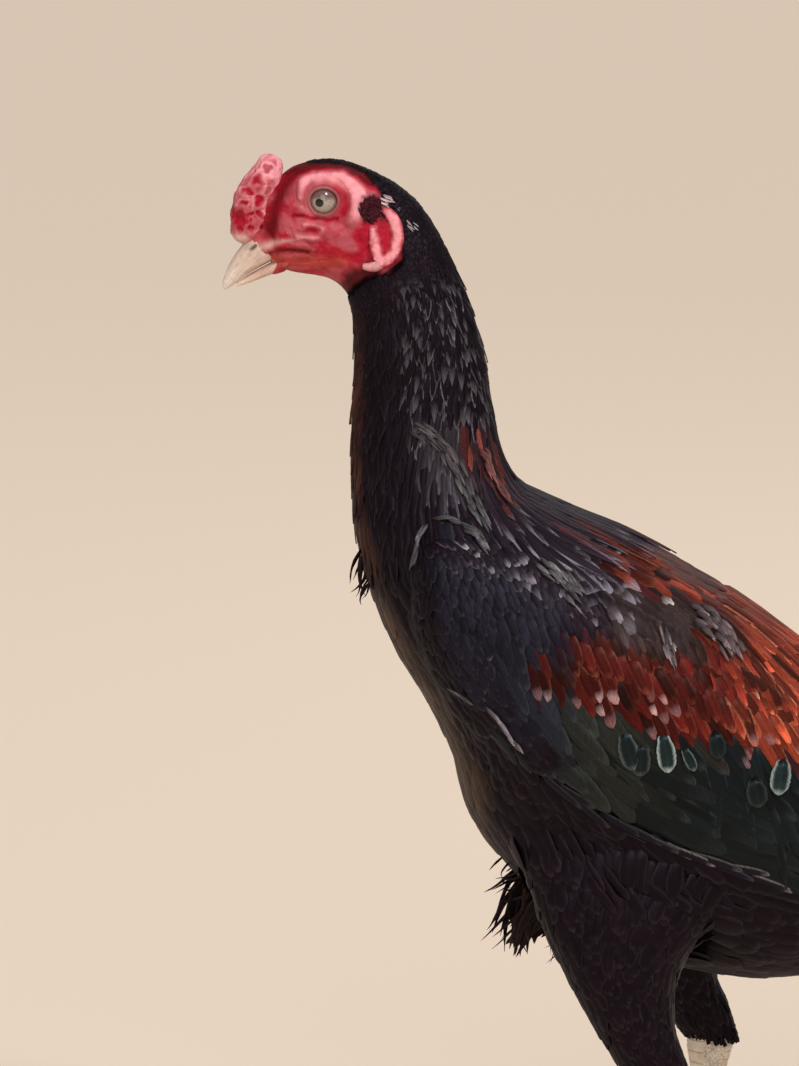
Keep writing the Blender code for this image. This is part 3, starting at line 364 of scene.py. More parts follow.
def field(form, low, high, row_space, across_space, seed, turns=(0.0, 1.0)):
    """Staggered places over a form between rings: distances between rows and along a row in millimetres."""
    rng = np.random.default_rng(seed)
    dense = np.linspace(low, high, 500)
    line = form.at(dense, np.full(500, 0.25))
    run = run_along(line)
    spaces = row_space(dense) if callable(row_space) else np.full(500, row_space)
    count = np.concatenate([[0.0], np.cumsum(np.diff(run) / spaces[1:])])
    rows = np.interp(np.arange(int(count[-1]) + 1), count, dense)
    turn = np.linspace(*turns, 129)
    us, vs = [], []
    for k, u in enumerate(rows):
        ring = form.at(np.full(129, u), turn)
        arc = run_along(ring)
        space = across_space(u) if callable(across_space) else across_space
        number = max(int(round(arc[-1] / space)), 1)
        place = (np.arange(number) + 0.25 + 0.5 * (k % 2) + rng.uniform(-0.14, 0.14, number)) / number
        vs.append(np.interp(place * arc[-1], arc, turn))
        us.append(np.full(number, u))
    us, vs = np.concatenate(us), np.concatenate(vs)
    step = np.interp(us, rows[:-1], np.diff(rows)) if len(rows) > 1 else 0.0
    return np.clip(us + rng.uniform(-0.18, 0.18, len(us)) * step, 0.0, form.last - 0.001), vs


# Markings and the painted rim light, in side view

# The photograph's unit in millimetres across and up, where the plan's origin lies, how steeply the camera
# looks down, and how much lower in the picture each millimetre nearer is.
UNIT_X, UNIT_Z, PICTURE_X, PICTURE_Z, LOOKING_DOWN, NEARER = 0.52, 0.5265, 560.0, 1310.0, 0.1563, 0.297


def picture_place(points):
    """Where points show in the side view, in the photograph's units."""
    return np.stack([points[..., 0] / UNIT_X + PICTURE_X,
                     PICTURE_Z - points[..., 2] / UNIT_Z + np.abs(points[..., 1]) * NEARER], axis=-1)


def plan_place(x, z):
    """The plan's x and height in the bird's plane for a place in the photograph's units."""
    return (x - PICTURE_X) * UNIT_X, (PICTURE_Z - z) * UNIT_Z


def inside(place, corners, soft):
    """1 inside a polygon in side view and 0 outside, over an edge soft units wide."""
    corners = np.array(corners, float)
    ends = np.roll(corners, -1, axis=0)
    best = np.full(place.shape[:-1], 1e9)
    odd = np.zeros(place.shape[:-1], bool)
    for a, b in zip(corners, ends):
        line = b - a
        t = np.clip(dot(place - a, line) / dot(line, line), 0.0, 1.0)
        best = np.minimum(best, np.linalg.norm(place - a - line * t[..., None], axis=-1))
        crosses = (a[1] > place[..., 1]) != (b[1] > place[..., 1])
        with np.errstate(divide="ignore", invalid="ignore"):
            at = a[0] + (place[..., 1] - a[1]) / (b[1] - a[1]) * (b[0] - a[0])
        odd ^= crosses & (place[..., 0] < at)
    return smooth(np.where(odd, best, -best), -soft / 2, soft / 2)


def to_line(place, line):
    """Distance from points to a line of several points, and how far along it, from 0 to 1."""
    line = np.array(line, float)
    spans = np.linalg.norm(np.diff(line, axis=0), axis=1)
    run = np.concatenate([[0.0], np.cumsum(spans)]) / spans.sum()
    best = np.full(place.shape[:-1], 1e9)
    along = np.zeros(place.shape[:-1])
    for k, (a, b) in enumerate(zip(line, line[1:])):
        t = np.clip(dot(place - a, b - a) / dot(b - a, b - a), 0.0, 1.0)
        d = np.linalg.norm(place - a - (b - a) * t[..., None], axis=-1)
        along = np.where(d < best, run[k] + (run[k + 1] - run[k]) * t, along)
        best = np.minimum(best, d)
    return best, along


# The bare face in side view, x and z in the plan.
BARE_FACE = (
    (-185, 640), (-142, 604.5), (-136, 602), (-123, 603), (-112, 602), (-102, 598), (-95, 590.5), (-91, 582),
    (-84, 574), (-82.5, 565), (-83, 556), (-90, 549), (-101, 545.5), (-107, 541), (-111, 535), (-125, 530),
    (-185, 530),
)
# Zones of the markings, in the photograph's units. The red ones are the band, the patch over it and the nape.
RED_ZONES = (
    ((532, 676), (562, 652), (582, 636), (604, 640), (660, 652), (722, 652), (735, 600), (799, 630),
     (870, 690), (940, 750), (985, 815), (985, 860), (940, 850), (880, 815), (799, 765), (740, 748),
     (690, 735), (640, 730), (590, 722), (545, 715), (528, 690)),
    ((600, 556), (640, 547), (668, 548), (731, 562), (799, 620), (799, 650), (760, 625), (700, 600),
     (640, 592), (605, 575)),
    ((463, 455), (478, 440), (497, 470), (516, 497), (512, 512), (500, 505), (482, 490)),
)
GREEN_ZONE = (
    (548, 722), (600, 728), (690, 738), (740, 752), (799, 770), (880, 815), (960, 870), (975, 900),
    (900, 915), (799, 890), (700, 858), (602, 808), (562, 780),
)
OLIVE_ZONE = ((606, 592), (700, 602), (745, 630), (752, 648), (735, 660), (700, 656), (650, 652), (608, 640))
BOW_ZONE = (
    (430, 560), (500, 565), (565, 600), (562, 650), (540, 700), (548, 722), (530, 752), (487, 715),
    (450, 680),
)
CAPE_ZONE = ((440, 520), (520, 500), (600, 515), (650, 548), (620, 600), (560, 600), (500, 580), (450, 560))
BLACK, VIOLET_BLACK = vec(0.0034, 0.0016, 0.0030), vec(0.012, 0.007, 0.012)
BLUE_BLACK, GREEN_BLACK = vec(0.0060, 0.0064, 0.0115), vec(0.0036, 0.0062, 0.0068)
OLIVE, MAHOGANY = vec(0.023, 0.014, 0.012), vec(0.046, 0.0032, 0.0026)
# The lilac on the next line is painted highlight: the grey-lilac light that the black feathers' tips and
# edges catch.
ORANGE, LILAC_HIGHLIGHT = vec(0.19, 0.030, 0.013), vec(0.20, 0.185, 0.22)
# The brown and ruddy colours on the next line are the painted warm rim light on the front of neck and breast;
# the brown is also the rim of the belly tuft's feathers.
BROWN, RUDDY_RIM_LIGHT = vec(0.055, 0.032, 0.018), vec(0.048, 0.014, 0.008)
TEAL = vec(0.09, 0.20, 0.20)
# The front edge of neck and breast, where a warm rim light is painted: heights, and x less the neck's.
FRONT_HEIGHTS, FRONT_EDGE = (280, 330, 372, 425, 470, 545), (62, 38, 12, -1, -2, 1)


def markings(points):
    """The plumage's colour at places on the bird, with a painted warm rim light along the front of neck and
    breast, and how red it is.
    """
    place = picture_place(points)
    px = place[..., 0]
    mottle = noise(points, 9.0, 3)
    colour = BLACK * (1.0 + 0.25 * mottle)[..., None]
    colour = blend(colour, VIOLET_BLACK, inside(place, CAPE_ZONE, 26))
    colour = blend(colour, BLUE_BLACK, inside(place, BOW_ZONE, 24))
    colour = blend(colour, GREEN_BLACK, inside(place, GREEN_ZONE, 14))
    colour = blend(colour, GREEN_BLACK * 0.9, smooth(px, 900, 980))
    red = np.zeros(px.shape)
    for zone in RED_ZONES:
        red = np.maximum(red, inside(place + mottle[..., None] * 5.0, zone, 12))
    brighter = smooth(px + 25 * noise(points, 14.0, 5), 690, 800) * (1 - 0.5 * smooth(px, 860, 960))
    upper = inside(place, RED_ZONES[1], 10) * smooth(noise(points, 7.0, 8), -0.2, 0.5)
    brighter = np.maximum(brighter, 0.75 * upper)
    brighter = np.maximum(brighter, 0.7 * inside(place, RED_ZONES[2], 8))
    ruddy = blend(MAHOGANY, ORANGE, 0.8 * brighter) * (1.0 + 0.45 * noise(points, 5.0, 11))[..., None]
    colour = blend(colour, ruddy, red)
    colour = blend(colour, OLIVE, inside(place, OLIVE_ZONE, 10))
    # Over it all, the painted warm rim light along the front of neck and breast.
    return blend(colour, *painted_rim_light(points)), red


def painted_rim_light(points):
    """Painted warm rim light along the front edge of neck and breast, light thrown up from the ground: its
    colour and its share.
    """
    x, y, z = np.moveaxis(points, -1, 0)
    front = x + 104 - np.interp(z, FRONT_HEIGHTS, FRONT_EDGE)
    lower = smooth(-z, -425, -365)
    share = np.clip(1.0 - front / (4.2 + 4.5 * lower), 0.0, 1.0) ** 1.2
    share = share * smooth(z, 215, 250) * smooth(-z, -535, -485)
    share = share * (0.62 + 0.45 * noise(points, 8.0, 12))
    share = share * (1 - 0.45 * lower * smooth(-np.abs(y), -26.0, -8.0))
    return blend(RUDDY_RIM_LIGHT, BROWN, lower), np.clip(share, 0.0, 0.85)


# Meshes

def to_frame(points):
    """From plan millimetres to the frame's metres."""
    moved = np.array(points, float)
    moved[..., 0] += SHIFT
    return moved * MM


def mesh_object(name, points, quads=(), triangles=(), attributes=None, patch=None, sharp=None):
    """An object from arrays, in plan millimetres. patch is its place on the unwrap, a pair for each point."""
    quads = np.asarray(quads, np.int32).reshape(-1, 4)
    triangles = np.asarray(triangles, np.int32).reshape(-1, 3)
    mesh = bpy.data.meshes.new(name)
    mesh.vertices.add(len(points))
    mesh.vertices.foreach_set("co", to_frame(points).astype(np.float32).ravel())
    corners = np.concatenate([quads.ravel(), triangles.ravel()])
    mesh.loops.add(len(corners))
    mesh.loops.foreach_set("vertex_index", corners)
    mesh.polygons.add(len(quads) + len(triangles))
    starts = np.concatenate([np.arange(len(quads)) * 4, len(quads) * 4 + np.arange(len(triangles)) * 3])
    mesh.polygons.foreach_set("loop_start", starts.astype(np.int32))
    mesh.polygons.foreach_set("use_smooth", np.ones(len(starts), bool))
    mesh.update(calc_edges=True)
    if sharp is not None:
        ends = np.empty(len(mesh.edges) * 2, np.int32)
        mesh.edges.foreach_get("vertices", ends)
        ends = ends.reshape(-1, 2)
        marked = mesh.attributes.new("sharp_edge", "BOOLEAN", "EDGE")
        marked.data.foreach_set("value", sharp[ends[:, 0]] & sharp[ends[:, 1]])
    set_attributes(mesh, attributes or {})
    if patch is not None:
        layer = mesh.uv_layers.new(name="OFBake")
        layer.uv.foreach_set("vector", patch[corners].astype(np.float32).ravel())
    mesh.validate()
    obj = bpy.data.objects.new(name, mesh)
    bpy.context.scene.collection.objects.link(obj)
    return obj


def set_attributes(mesh, attributes):
    """Named values for each point: three numbers a place, four a colour, one a number."""
    kinds = {1: ("FLOAT", "value"), 3: ("FLOAT_VECTOR", "vector"), 4: ("FLOAT_COLOR", "color")}
    for key, values in attributes.items():
        values = np.asarray(values, np.float32)
        kind, field_name = kinds[1 if values.ndim == 1 else values.shape[1]]
        made = mesh.attributes.new(key, kind, "POINT")
        made.data.foreach_set(field_name, values.ravel())


def grid_faces(n, m):
    """Quads of a grid of n closed rings with m points each."""
    i, j = crossed(np.arange(n - 1), np.arange(m))
    a, b = (i * m + j).ravel(), (i * m + (j + 1) % m).ravel()
    return np.stack([a, b, b + m, a + m], axis=1)


def tube_mesh(rings):
    """Points and faces of a closed solid through rings, with a middle point on each end."""
    n, m = rings.shape[:2]
    points = np.concatenate([rings.reshape(-1, 3), rings[0].mean(axis=0)[None], rings[-1].mean(axis=0)[None]])
    j = np.arange(m)
    start = np.stack([(j + 1) % m, j, np.full(m, n * m)], axis=1)
    end = np.stack([(n - 1) * m + j, (n - 1) * m + (j + 1) % m, np.full(m, n * m + 1)], axis=1)
    return points, grid_faces(n, m), np.concatenate([start, end])


def joined(name, solids, attributes=None):
    """One object from several closed solids, each given as points, quads and triangles."""
    parts, first = [], 0
    for points, quads, triangles in solids:
        parts.append((points, quads + first, triangles + first))
        first += len(points)
    return mesh_object(name, *(np.concatenate(arrays) for arrays in zip(*parts)), attributes)


def outward(obj):
    """Turns all faces of an object outwards."""
    bm = bmesh.new()
    bm.from_mesh(obj.data)
    bmesh.ops.recalc_face_normals(bm, faces=bm.faces)
    bm.to_mesh(obj.data)
    bm.free()


def applied(obj):
    """Makes an object's modifiers part of its mesh."""
    bpy.context.view_layer.update()
    made = bpy.data.meshes.new_from_object(obj.evaluated_get(bpy.context.evaluated_depsgraph_get()))
    obj.modifiers.clear()
    old, obj.data = obj.data, made
    bpy.data.meshes.remove(old)
    made.polygons.foreach_set("use_smooth", np.ones(len(made.polygons), bool))


def united(obj, others):
    """Joins closed solids to an object as one closed skin."""
    group = bpy.data.collections.new("others")
    for other in others:
        group.objects.link(other)
    modifier = obj.modifiers.new("join", "BOOLEAN")
    modifier.operation, modifier.solver = "UNION", "MANIFOLD"
    modifier.operand_type, modifier.collection = "COLLECTION", group
    applied(obj)
    for other in others:
        bpy.data.objects.remove(other)
    bpy.data.collections.remove(group)


def remeshed(obj, size, soften):
    """Fuses an object's solids into one skin with small faces."""
    modifier = obj.modifiers.new("fuse", "REMESH")
    modifier.mode, modifier.voxel_size = "VOXEL", size * MM
    relax = obj.modifiers.new("soften", "SMOOTH")
    relax.factor, relax.iterations = 0.5, soften
    applied(obj)


def read_points(obj):
    """An object's points in plan millimetres, and their outward directions."""
    count = len(obj.data.vertices)
    points, normals = np.empty(count * 3, np.float32), np.empty(count * 3, np.float32)
    obj.data.vertices.foreach_get("co", points)
    obj.data.vertex_normals.foreach_get("vector", normals)
    points = points.reshape(-1, 3).astype(float) / MM
    points[:, 0] -= SHIFT
    return points, normals.reshape(-1, 3).astype(float)


def move_points(obj, points):
    """Puts an object's points at new places, in plan millimetres."""
    obj.data.vertices.foreach_set("co", to_frame(points).astype(np.float32).ravel())
    obj.data.update()


def ball(centre, radii, turn, segments, rings):
    """Points and faces of an oval ball, turned in side view."""
    polar = np.linspace(0.04, np.pi - 0.04, rings)
    angle = circle(segments, 0.0, 2 * np.pi)
    p, a = crossed(polar, angle)
    local = np.stack([np.sin(p) * np.cos(a), np.sin(p) * np.sin(a), np.cos(p)], axis=-1) * np.array(radii)
    c, s = math.cos(math.radians(turn)), math.sin(math.radians(turn))
    x, z = local[..., 0] * c + local[..., 2] * s, -local[..., 0] * s + local[..., 2] * c
    return tube_mesh(np.stack([x, local[..., 1], z], axis=-1) + np.array(centre))


def smooth_line(line, count):
    """Points spaced along a smooth curve through a line's points."""
    line = np.array(line, float)
    return smooth_rows(line, np.linspace(0.0, len(line) - 1.0, count))


def rope(line, radii, around, count):
    """Points and faces of a round tube along a smooth curve, its ends rounded off."""
    path = smooth_line(line, count)
    radius = smooth_rows(np.array(radii, float)[:, None], np.linspace(0.0, len(radii) - 1.0, count))[:, 0]
    share = np.linspace(0.0, 1.0, count)
    radius = radius * np.sqrt(np.clip(1 - np.clip(np.abs(share - 0.5) * 2 - 0.9, 0, 1) ** 2 * 99, 0.02, 1.0))
    tangent = unit(np.gradient(path, axis=0))
    side = unit(np.cross(tangent, vec(0.05, 1.0, 0.02)))
    over = np.cross(side, tangent)
    angle = circle(around, 0.0, 2 * np.pi)
    rings = path[:, None] + (side[:, None] * np.cos(angle)[None, :, None]
                             + over[:, None] * np.sin(angle)[None, :, None]) * radius[:, None, None]
    return tube_mesh(rings)


# Materials

class Paint:
    """A material whose node tree is built from short calls."""

    def __init__(self, name, **values):
        self.material = bpy.data.materials.new(name)
        self.material.use_nodes = True
        self.tree = self.material.node_tree
        self.shader = self.tree.nodes["Principled BSDF"]
        for key, value in values.items():
            self.set(key.replace("_", " ").title().replace("Ior", "IOR"), value)

    def set(self, socket, value):
        """A number, a colour or another node's output on one of the shader's sockets."""
        self.put(self.shader.inputs[socket], value)

    def put(self, socket, value):
        """The same on any socket."""
        if isinstance(value, bpy.types.NodeSocket):
            self.tree.links.new(value, socket)
        elif isinstance(value, tuple) and len(socket.default_value) == 4 and len(value) == 3:
            socket.default_value = (*value, 1.0)
        else:
            socket.default_value = value

    def node(self, kind, inputs=(), output=0, **settings):
        """A new node with its inputs and settings, and one of its outputs."""
        made = self.tree.nodes.new("ShaderNode" + kind)
        for key, value in settings.items():
            setattr(made, key, value)
        for key, value in dict(inputs).items():
            self.put(made.inputs[key], value)
        return made.outputs[output]

    def attribute(self, name, output="Color"):
        return self.node("Attribute", output=output, attribute_name=name)

    def maths(self, operation, a, b=0.0):
        return self.node("Math", {0: a, 1: b}, operation=operation)

    def split(self, vector, axis):
        return self.node("SeparateXYZ", {0: vector}, output=axis)

    def mix(self, share, a, b, how="MIX"):
        """From colour a at a share of 0 to colour b at 1."""
        return self.node("Mix", {0: share, 6: a, 7: b}, output=2, data_type="RGBA", blend_type=how)

    def times(self, colour, bright):
        """A colour with all three of its numbers multiplied by one."""
        grey = self.node("CombineXYZ", {0: bright, 1: bright, 2: bright})
        return self.mix(1.0, colour, grey, "MULTIPLY")

    def between(self, value, low, high, to_low=0.0, to_high=1.0):
        """to_low up to low, to_high from high on and smooth between."""
        return self.node("MapRange", {0: value, 1: low, 2: high, 3: to_low, 4: to_high},
                         interpolation_type="SMOOTHSTEP")

    def noise(self, scale, detail, vector, rough=0.5):
        return self.node("TexNoise", {"Scale": scale, "Detail": detail, "Roughness": rough, "Vector": vector})

    def position(self):
        """Places in the object's own metres."""
        return self.node("TexCoord", output="Object")

    def bump(self, height, strength, distance):
        """Fine relief, distance metres deep at full strength."""
        self.set("Normal", self.node("Bump", {"Height": height, "Strength": strength, "Distance": distance}))


def feather_paint(name, roughness, sheen, sheen_tint, specular, specular_tint):
    """Feathers: tint with a rim, a shaft and fine barbs."""
    paint = Paint(name, roughness=roughness, sheen_weight=sheen, sheen_roughness=0.35, sheen_tint=sheen_tint,
                  specular_ior_level=specular, specular_tint=specular_tint)
    place = paint.attribute("place", "Vector")
    along, across, phase = (paint.split(place, k) for k in range(3))
    rim = paint.attribute("rim")
    rim_share = paint.attribute("rim", "Alpha")
    tint = paint.attribute("tint")
    chance = paint.attribute("tint", "Alpha")
    edge = paint.maths("ABSOLUTE", across)
    tip = paint.maths("MULTIPLY", paint.maths("SUBTRACT", along, 0.56), 2.2)
    border = paint.between(paint.maths("MAXIMUM", edge, tip), 0.55, 0.92)
    barbs = paint.node("CombineXYZ", {0: phase, 1: paint.maths("MULTIPLY", across, 0.6),
                                      2: paint.maths("MULTIPLY", chance, 60.0)})
    streak = paint.noise(1.6, 2.0, barbs)
    share = paint.maths("MULTIPLY", paint.maths("MULTIPLY", border, rim_share),
                        paint.between(streak, 0.30, 0.60, 0.55, 1.0))
    colour = paint.mix(share, tint, rim)
    shaft = paint.between(edge, 0.0, 0.10, 1.6, 1.0)
    bright = paint.maths("MULTIPLY", paint.between(streak, 0.25, 0.75, 0.70, 1.30), shaft)
    colour = paint.times(colour, bright)
    paint.set("Base Color", colour)
    paint.bump(streak, 0.35, 0.00025)
    return paint.material


SUBSURFACE = {"subsurface_weight": 0.08, "subsurface_scale": 0.0012, "subsurface_radius": (1.0, 0.25, 0.15)}


def skin_paint():
    """Skin: bare and fleshy on the face, dull under the feathers."""
    paint = Paint("skin", **SUBSURFACE)
    colour = paint.attribute("tint")
    bare = paint.attribute("bare", "Fac")
    paint.set("Specular IOR Level", paint.between(bare, 0.0, 1.0, 0.03, 0.13))
    at = paint.position()
    grain = paint.noise(900.0, 3.0, at, 0.6)
    pores = paint.node("TexVoronoi", {"Vector": at, "Scale": 1100.0})
    patchy = paint.noise(160.0, 3.0, at)
    bright = paint.between(patchy, 0.25, 0.75, 0.82, 1.2)
    colour = paint.mix(bare, colour, paint.times(colour, bright))
    paint.set("Base Color", colour)
    paint.set("Roughness", paint.maths("SUBTRACT", 0.85, paint.maths("MULTIPLY", bare, paint.between(
        grain, 0.2, 0.8, 0.36, 0.20))))
    height = paint.maths("ADD", paint.maths("MULTIPLY", grain, 0.7), pores)
    paint.bump(height, 0.45, 0.00022)
    return paint.material


def fleshy_paint(name):
    """Comb and lobes: wet-looking skin whose tint is partly painted light, paler where it stands out and
    deeper in its hollows.
    """
    paint = Paint(name, specular_ior_level=0.16, **SUBSURFACE)
    at = paint.position()
    patchy = paint.noise(420.0, 4.0, at)
    bright = paint.between(patchy, 0.25, 0.75, 0.86, 1.14)
    colour = paint.times(paint.attribute("tint"), bright)
    paint.set("Base Color", colour)
    grain = paint.noise(1300.0, 3.0, at)
    pores = paint.node("TexVoronoi", {"Vector": at, "Scale": 1500.0})
    paint.set("Roughness", paint.between(grain, 0.2, 0.8, 0.42, 0.60))
    paint.bump(paint.maths("ADD", grain, pores), 0.4, 0.0002)
    return paint.material


def horn_paint(name, streaks, roughness):
    """Bill, claws and spurs: growth lines along a horny sheath."""
    paint = Paint(name, specular_ior_level=0.5, coat_weight=0.12, coat_roughness=0.25)
    lines = paint.attribute("lines", "Vector")
    along = paint.noise(streaks, 4.0, lines)
    rings = paint.noise(streaks * 1.7, 2.0, paint.node("VectorMath", {0: lines, 1: (2.5, 0.2, 1.0)},
                                                        operation="MULTIPLY"))
    bright = paint.maths("ADD", paint.between(along, 0.25, 0.75, 0.78, 1.12),
                         paint.between(rings, 0.3, 0.7, -0.07, 0.07))
    colour = paint.times(paint.attribute("tint"), bright)
    paint.set("Base Color", colour)
    paint.set("Roughness", paint.between(along, 0.2, 0.8, roughness - 0.08, roughness + 0.1))
    paint.bump(paint.maths("ADD", along, rings), 0.3, 0.0002)
    return paint.material


def scale_paint():
    """Scales of the legs: waxy plates, darker in their seams."""
    paint = Paint("leg_scales", specular_ior_level=0.45)
    at = paint.position()
    net = paint.node("TexVoronoi", {"Vector": at, "Scale": 520.0}, feature="DISTANCE_TO_EDGE")
    seam = paint.between(net, 0.0, 0.09)
    plates = paint.attribute("plate", "Fac")
    beyond = paint.between(plates, 1.0, 1.7)
    small = paint.maths("MAXIMUM", paint.maths("MULTIPLY", beyond, seam),
                        paint.maths("MULTIPLY", paint.maths("SUBTRACT", 1.0, beyond), plates))
    patchy = paint.noise(260.0, 4.0, at)
    bright = paint.maths("MULTIPLY", paint.between(patchy, 0.25, 0.75, 0.8, 1.15),
                         paint.between(small, 0.0, 1.0, 0.50, 1.0))
    colour = paint.times(paint.attribute("tint"), bright)
    paint.set("Base Color", colour)
    paint.set("Roughness", paint.between(patchy, 0.2, 0.8, 0.36, 0.56))
    paint.bump(small, 0.5, 0.0003)
    return paint.material


def eye_paint():
    """A pale iris with fine spokes and a dark rim, round a black pupil, under a wet surface, with painted
    shade of the upper lid over its top.
    """
    paint = Paint("eye", roughness=0.18, specular_ior_level=0.25, coat_weight=0.55, coat_roughness=0.02)
    place = paint.attribute("place", "Vector")
    out = paint.split(place, 0)
    wheel = paint.node("CombineXYZ", {0: paint.split(place, 1), 1: paint.split(place, 2),
                                      2: paint.maths("MULTIPLY", out, 0.04)})
    spokes = paint.noise(7.0, 4.0, wheel, 0.6)
    flecks = paint.noise(22.0, 2.0, wheel, 0.6)
    iris = paint.mix(paint.between(spokes, 0.3, 0.7), (0.24, 0.19, 0.16), (0.46, 0.39, 0.33))
    iris = paint.mix(paint.between(flecks, 0.52, 0.75, 0.0, 0.5), iris, (0.22, 0.16, 0.11))
    iris = paint.mix(paint.between(out, 15.0, 21.0, 0.55, 0.0), iris, (0.30, 0.24, 0.17))
    edge = paint.attribute("from_axis", "Fac")
    iris = paint.mix(paint.between(edge, 34.0, 45.0, 0.0, 0.75), iris, (0.15, 0.11, 0.075))
    iris = paint.mix(paint.between(edge, 48.0, 54.0), iris, (0.02, 0.010, 0.008))
    # Painted shade of the upper lid over the top of the iris.
    shaded = paint.between(paint.attribute("up", "Fac"), -0.05, 0.32, 0.0, 0.9)
    iris = paint.mix(shaded, iris, (0.12, 0.052, 0.052))
    colour = paint.mix(paint.between(out, 14.0, 15.6, 1.0, 0.0), iris, (0.003, 0.003, 0.004))
    paint.set("Base Color", colour)
    return paint.material


def dress(obj, material, slot, *nodes):
    """Gives a piece its material, lets it ride on the body, and hides the imported nodes whose place it
    takes. The slot is not used.
    """
    obj.data.materials.clear()
    obj.data.materials.append(material)
    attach(obj, "root")
    if nodes:
        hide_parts(*nodes)
    return obj


# The skin

HEAD_DETAIL, BODY_DETAIL, AROUND = 240, 150, 300
# Ridges of the bare face in side view: points x and z, radius at the start and at the end, height.
FACE_RIDGES = (
    (((-134.2, 587.2), (-133.2, 593.5), (-127, 597.6), (-119.3, 598.8), (-111.7, 597.0), (-106.6, 592.4),
      (-104.0, 586.6), (-104.6, 580.4), (-107.6, 575.4)), 2.8, 5.0, 2.3),
    (((-137.2, 582.2), (-133.3, 580.1), (-128.8, 577.9)), 2.0, 1.6, 1.3),
    (((-132.2, 572.0), (-126.3, 572.5), (-122.7, 570.2), (-124.6, 566.4), (-129.0, 565.0), (-136.5, 566.2)),
     1.7, 1.7, 1.35),
    (((-139, 561.9), (-133.5, 561.4), (-128.6, 559.6)), 1.2, 1.4, 0.9),
    (((-145, 553.6), (-137.4, 555.4), (-131.5, 555.6)), 1.6, 1.6, 0.8),
    (((-142.6, 550.6), (-133.3, 549.8), (-122.8, 551.4), (-112.0, 553.0)), 2.4, 2.0, 1.0),
    (((-119, 567), (-111, 562.5), (-106, 560)), 4.5, 4.2, 0.9),
    (((-142, 578), (-140.5, 570), (-138, 567)), 3.4, 2.4, 0.7),
    (((-113.6, 577.9), (-112.6, 577.2)), 1.6, 1.6, 0.9),
    (((-104.5, 574), (-101.5, 566), (-102.5, 558)), 2.2, 2.2, 0.6),
)
# Grooves of the bare face: points x and z, radius and depth.
FACE_GROOVES = (
    (((-129.6, 569.6), (-127.6, 569.3)), 1.6, 1.3),
    (((-147, 558.6), (-137.4, 558.9), (-130.5, 557.6)), 1.0, 1.2),
    (((-136.0, 603.0), (-143.8, 590), (-148.0, 579.4), (-150.5, 566.7)), 2.6, 1.2),
    (((-115.6, 591.0), (-111.9, 587.1), (-110.6, 582.2), (-112.8, 579.2)), 2.3, 1.7),
    (((-137.5, 577.0), (-130.5, 576.0), (-122.8, 575.2), (-115.8, 575.4)), 0.9, 0.8),
    (((-136, 568.6), (-131.5, 568.2)), 0.7, 0.6),
    (((-131, 563.2), (-122, 562.6)), 0.8, 0.6),
)
# Patches of colour on the face: line, width, how much paler or deeper. Most are painted light: highlight on
# the brow arc and the fold ridges, shade in creases, beside the lobe and under the crown's feathers.
FACE_TONES = (
    # Painted highlight on the swollen brow arc and on the fold ridges below and in front of the eye.
    (((-131, 596), (-119.3, 598.8), (-109, 595.0), (-104.6, 588.6), (-104.6, 581.0)), 4.4, 1.5),
    (((-114.5, 594.0), (-107.5, 591.0), (-102.5, 586.0)), 5.6, 1.2),
    (((-134.2, 587.2), (-133.2, 593.5)), 2.2, 0.8),
    (((-134, 581), (-129.1, 578.2)), 1.8, 0.9),
    (((-132.2, 572.0), (-126.3, 572.5), (-122.7, 570.2)), 1.6, 0.9),
    (((-125.6, 565.8), (-135, 566.0)), 1.6, 0.9),
    (((-144, 573), (-137, 571), (-133, 575)), 4.5, 0.6),
    # Painted shade beside the lobe's fold, and under the crown's feathers.
    (((-103.3, 570), (-102.5, 561)), 4.2, -0.75),
    (((-140, 600.0), (-125, 603.2), (-111, 602.0), (-99, 595.5)), 3.6, -3.4),
    (((-120, 557), (-106, 556)), 3.2, -0.5),
    (((-111, 561.5), (-108, 560)), 3.0, 0.55),
    # Painted shade in the crease under the eye.
    (((-137.5, 577.2), (-130.5, 576.2), (-122.8, 575.4), (-115.8, 575.6)), 0.9, -1.3),
)
# The deep red is painted shade in hollows, creases and under the jaw, and the pink is painted highlight on
# ridges; crimson and rosy are the skin's own reds.
SHADE_DEEP, CRIMSON = vec(0.105, 0.0012, 0.004), vec(0.37, 0.0045, 0.022)
ROSY, PINK_HIGHLIGHT = vec(0.44, 0.078, 0.100), vec(0.80, 0.30, 0.34)
JAW_RED, WEDGE = vec(0.40, 0.042, 0.024), vec(0.60, 0.36, 0.33)
# The dark red after the lid grey is painted shade in the ear's hollow under its tuft.
LID_GREY, EAR_SHADE_RED = vec(0.27, 0.125, 0.125), vec(0.050, 0.007, 0.009)
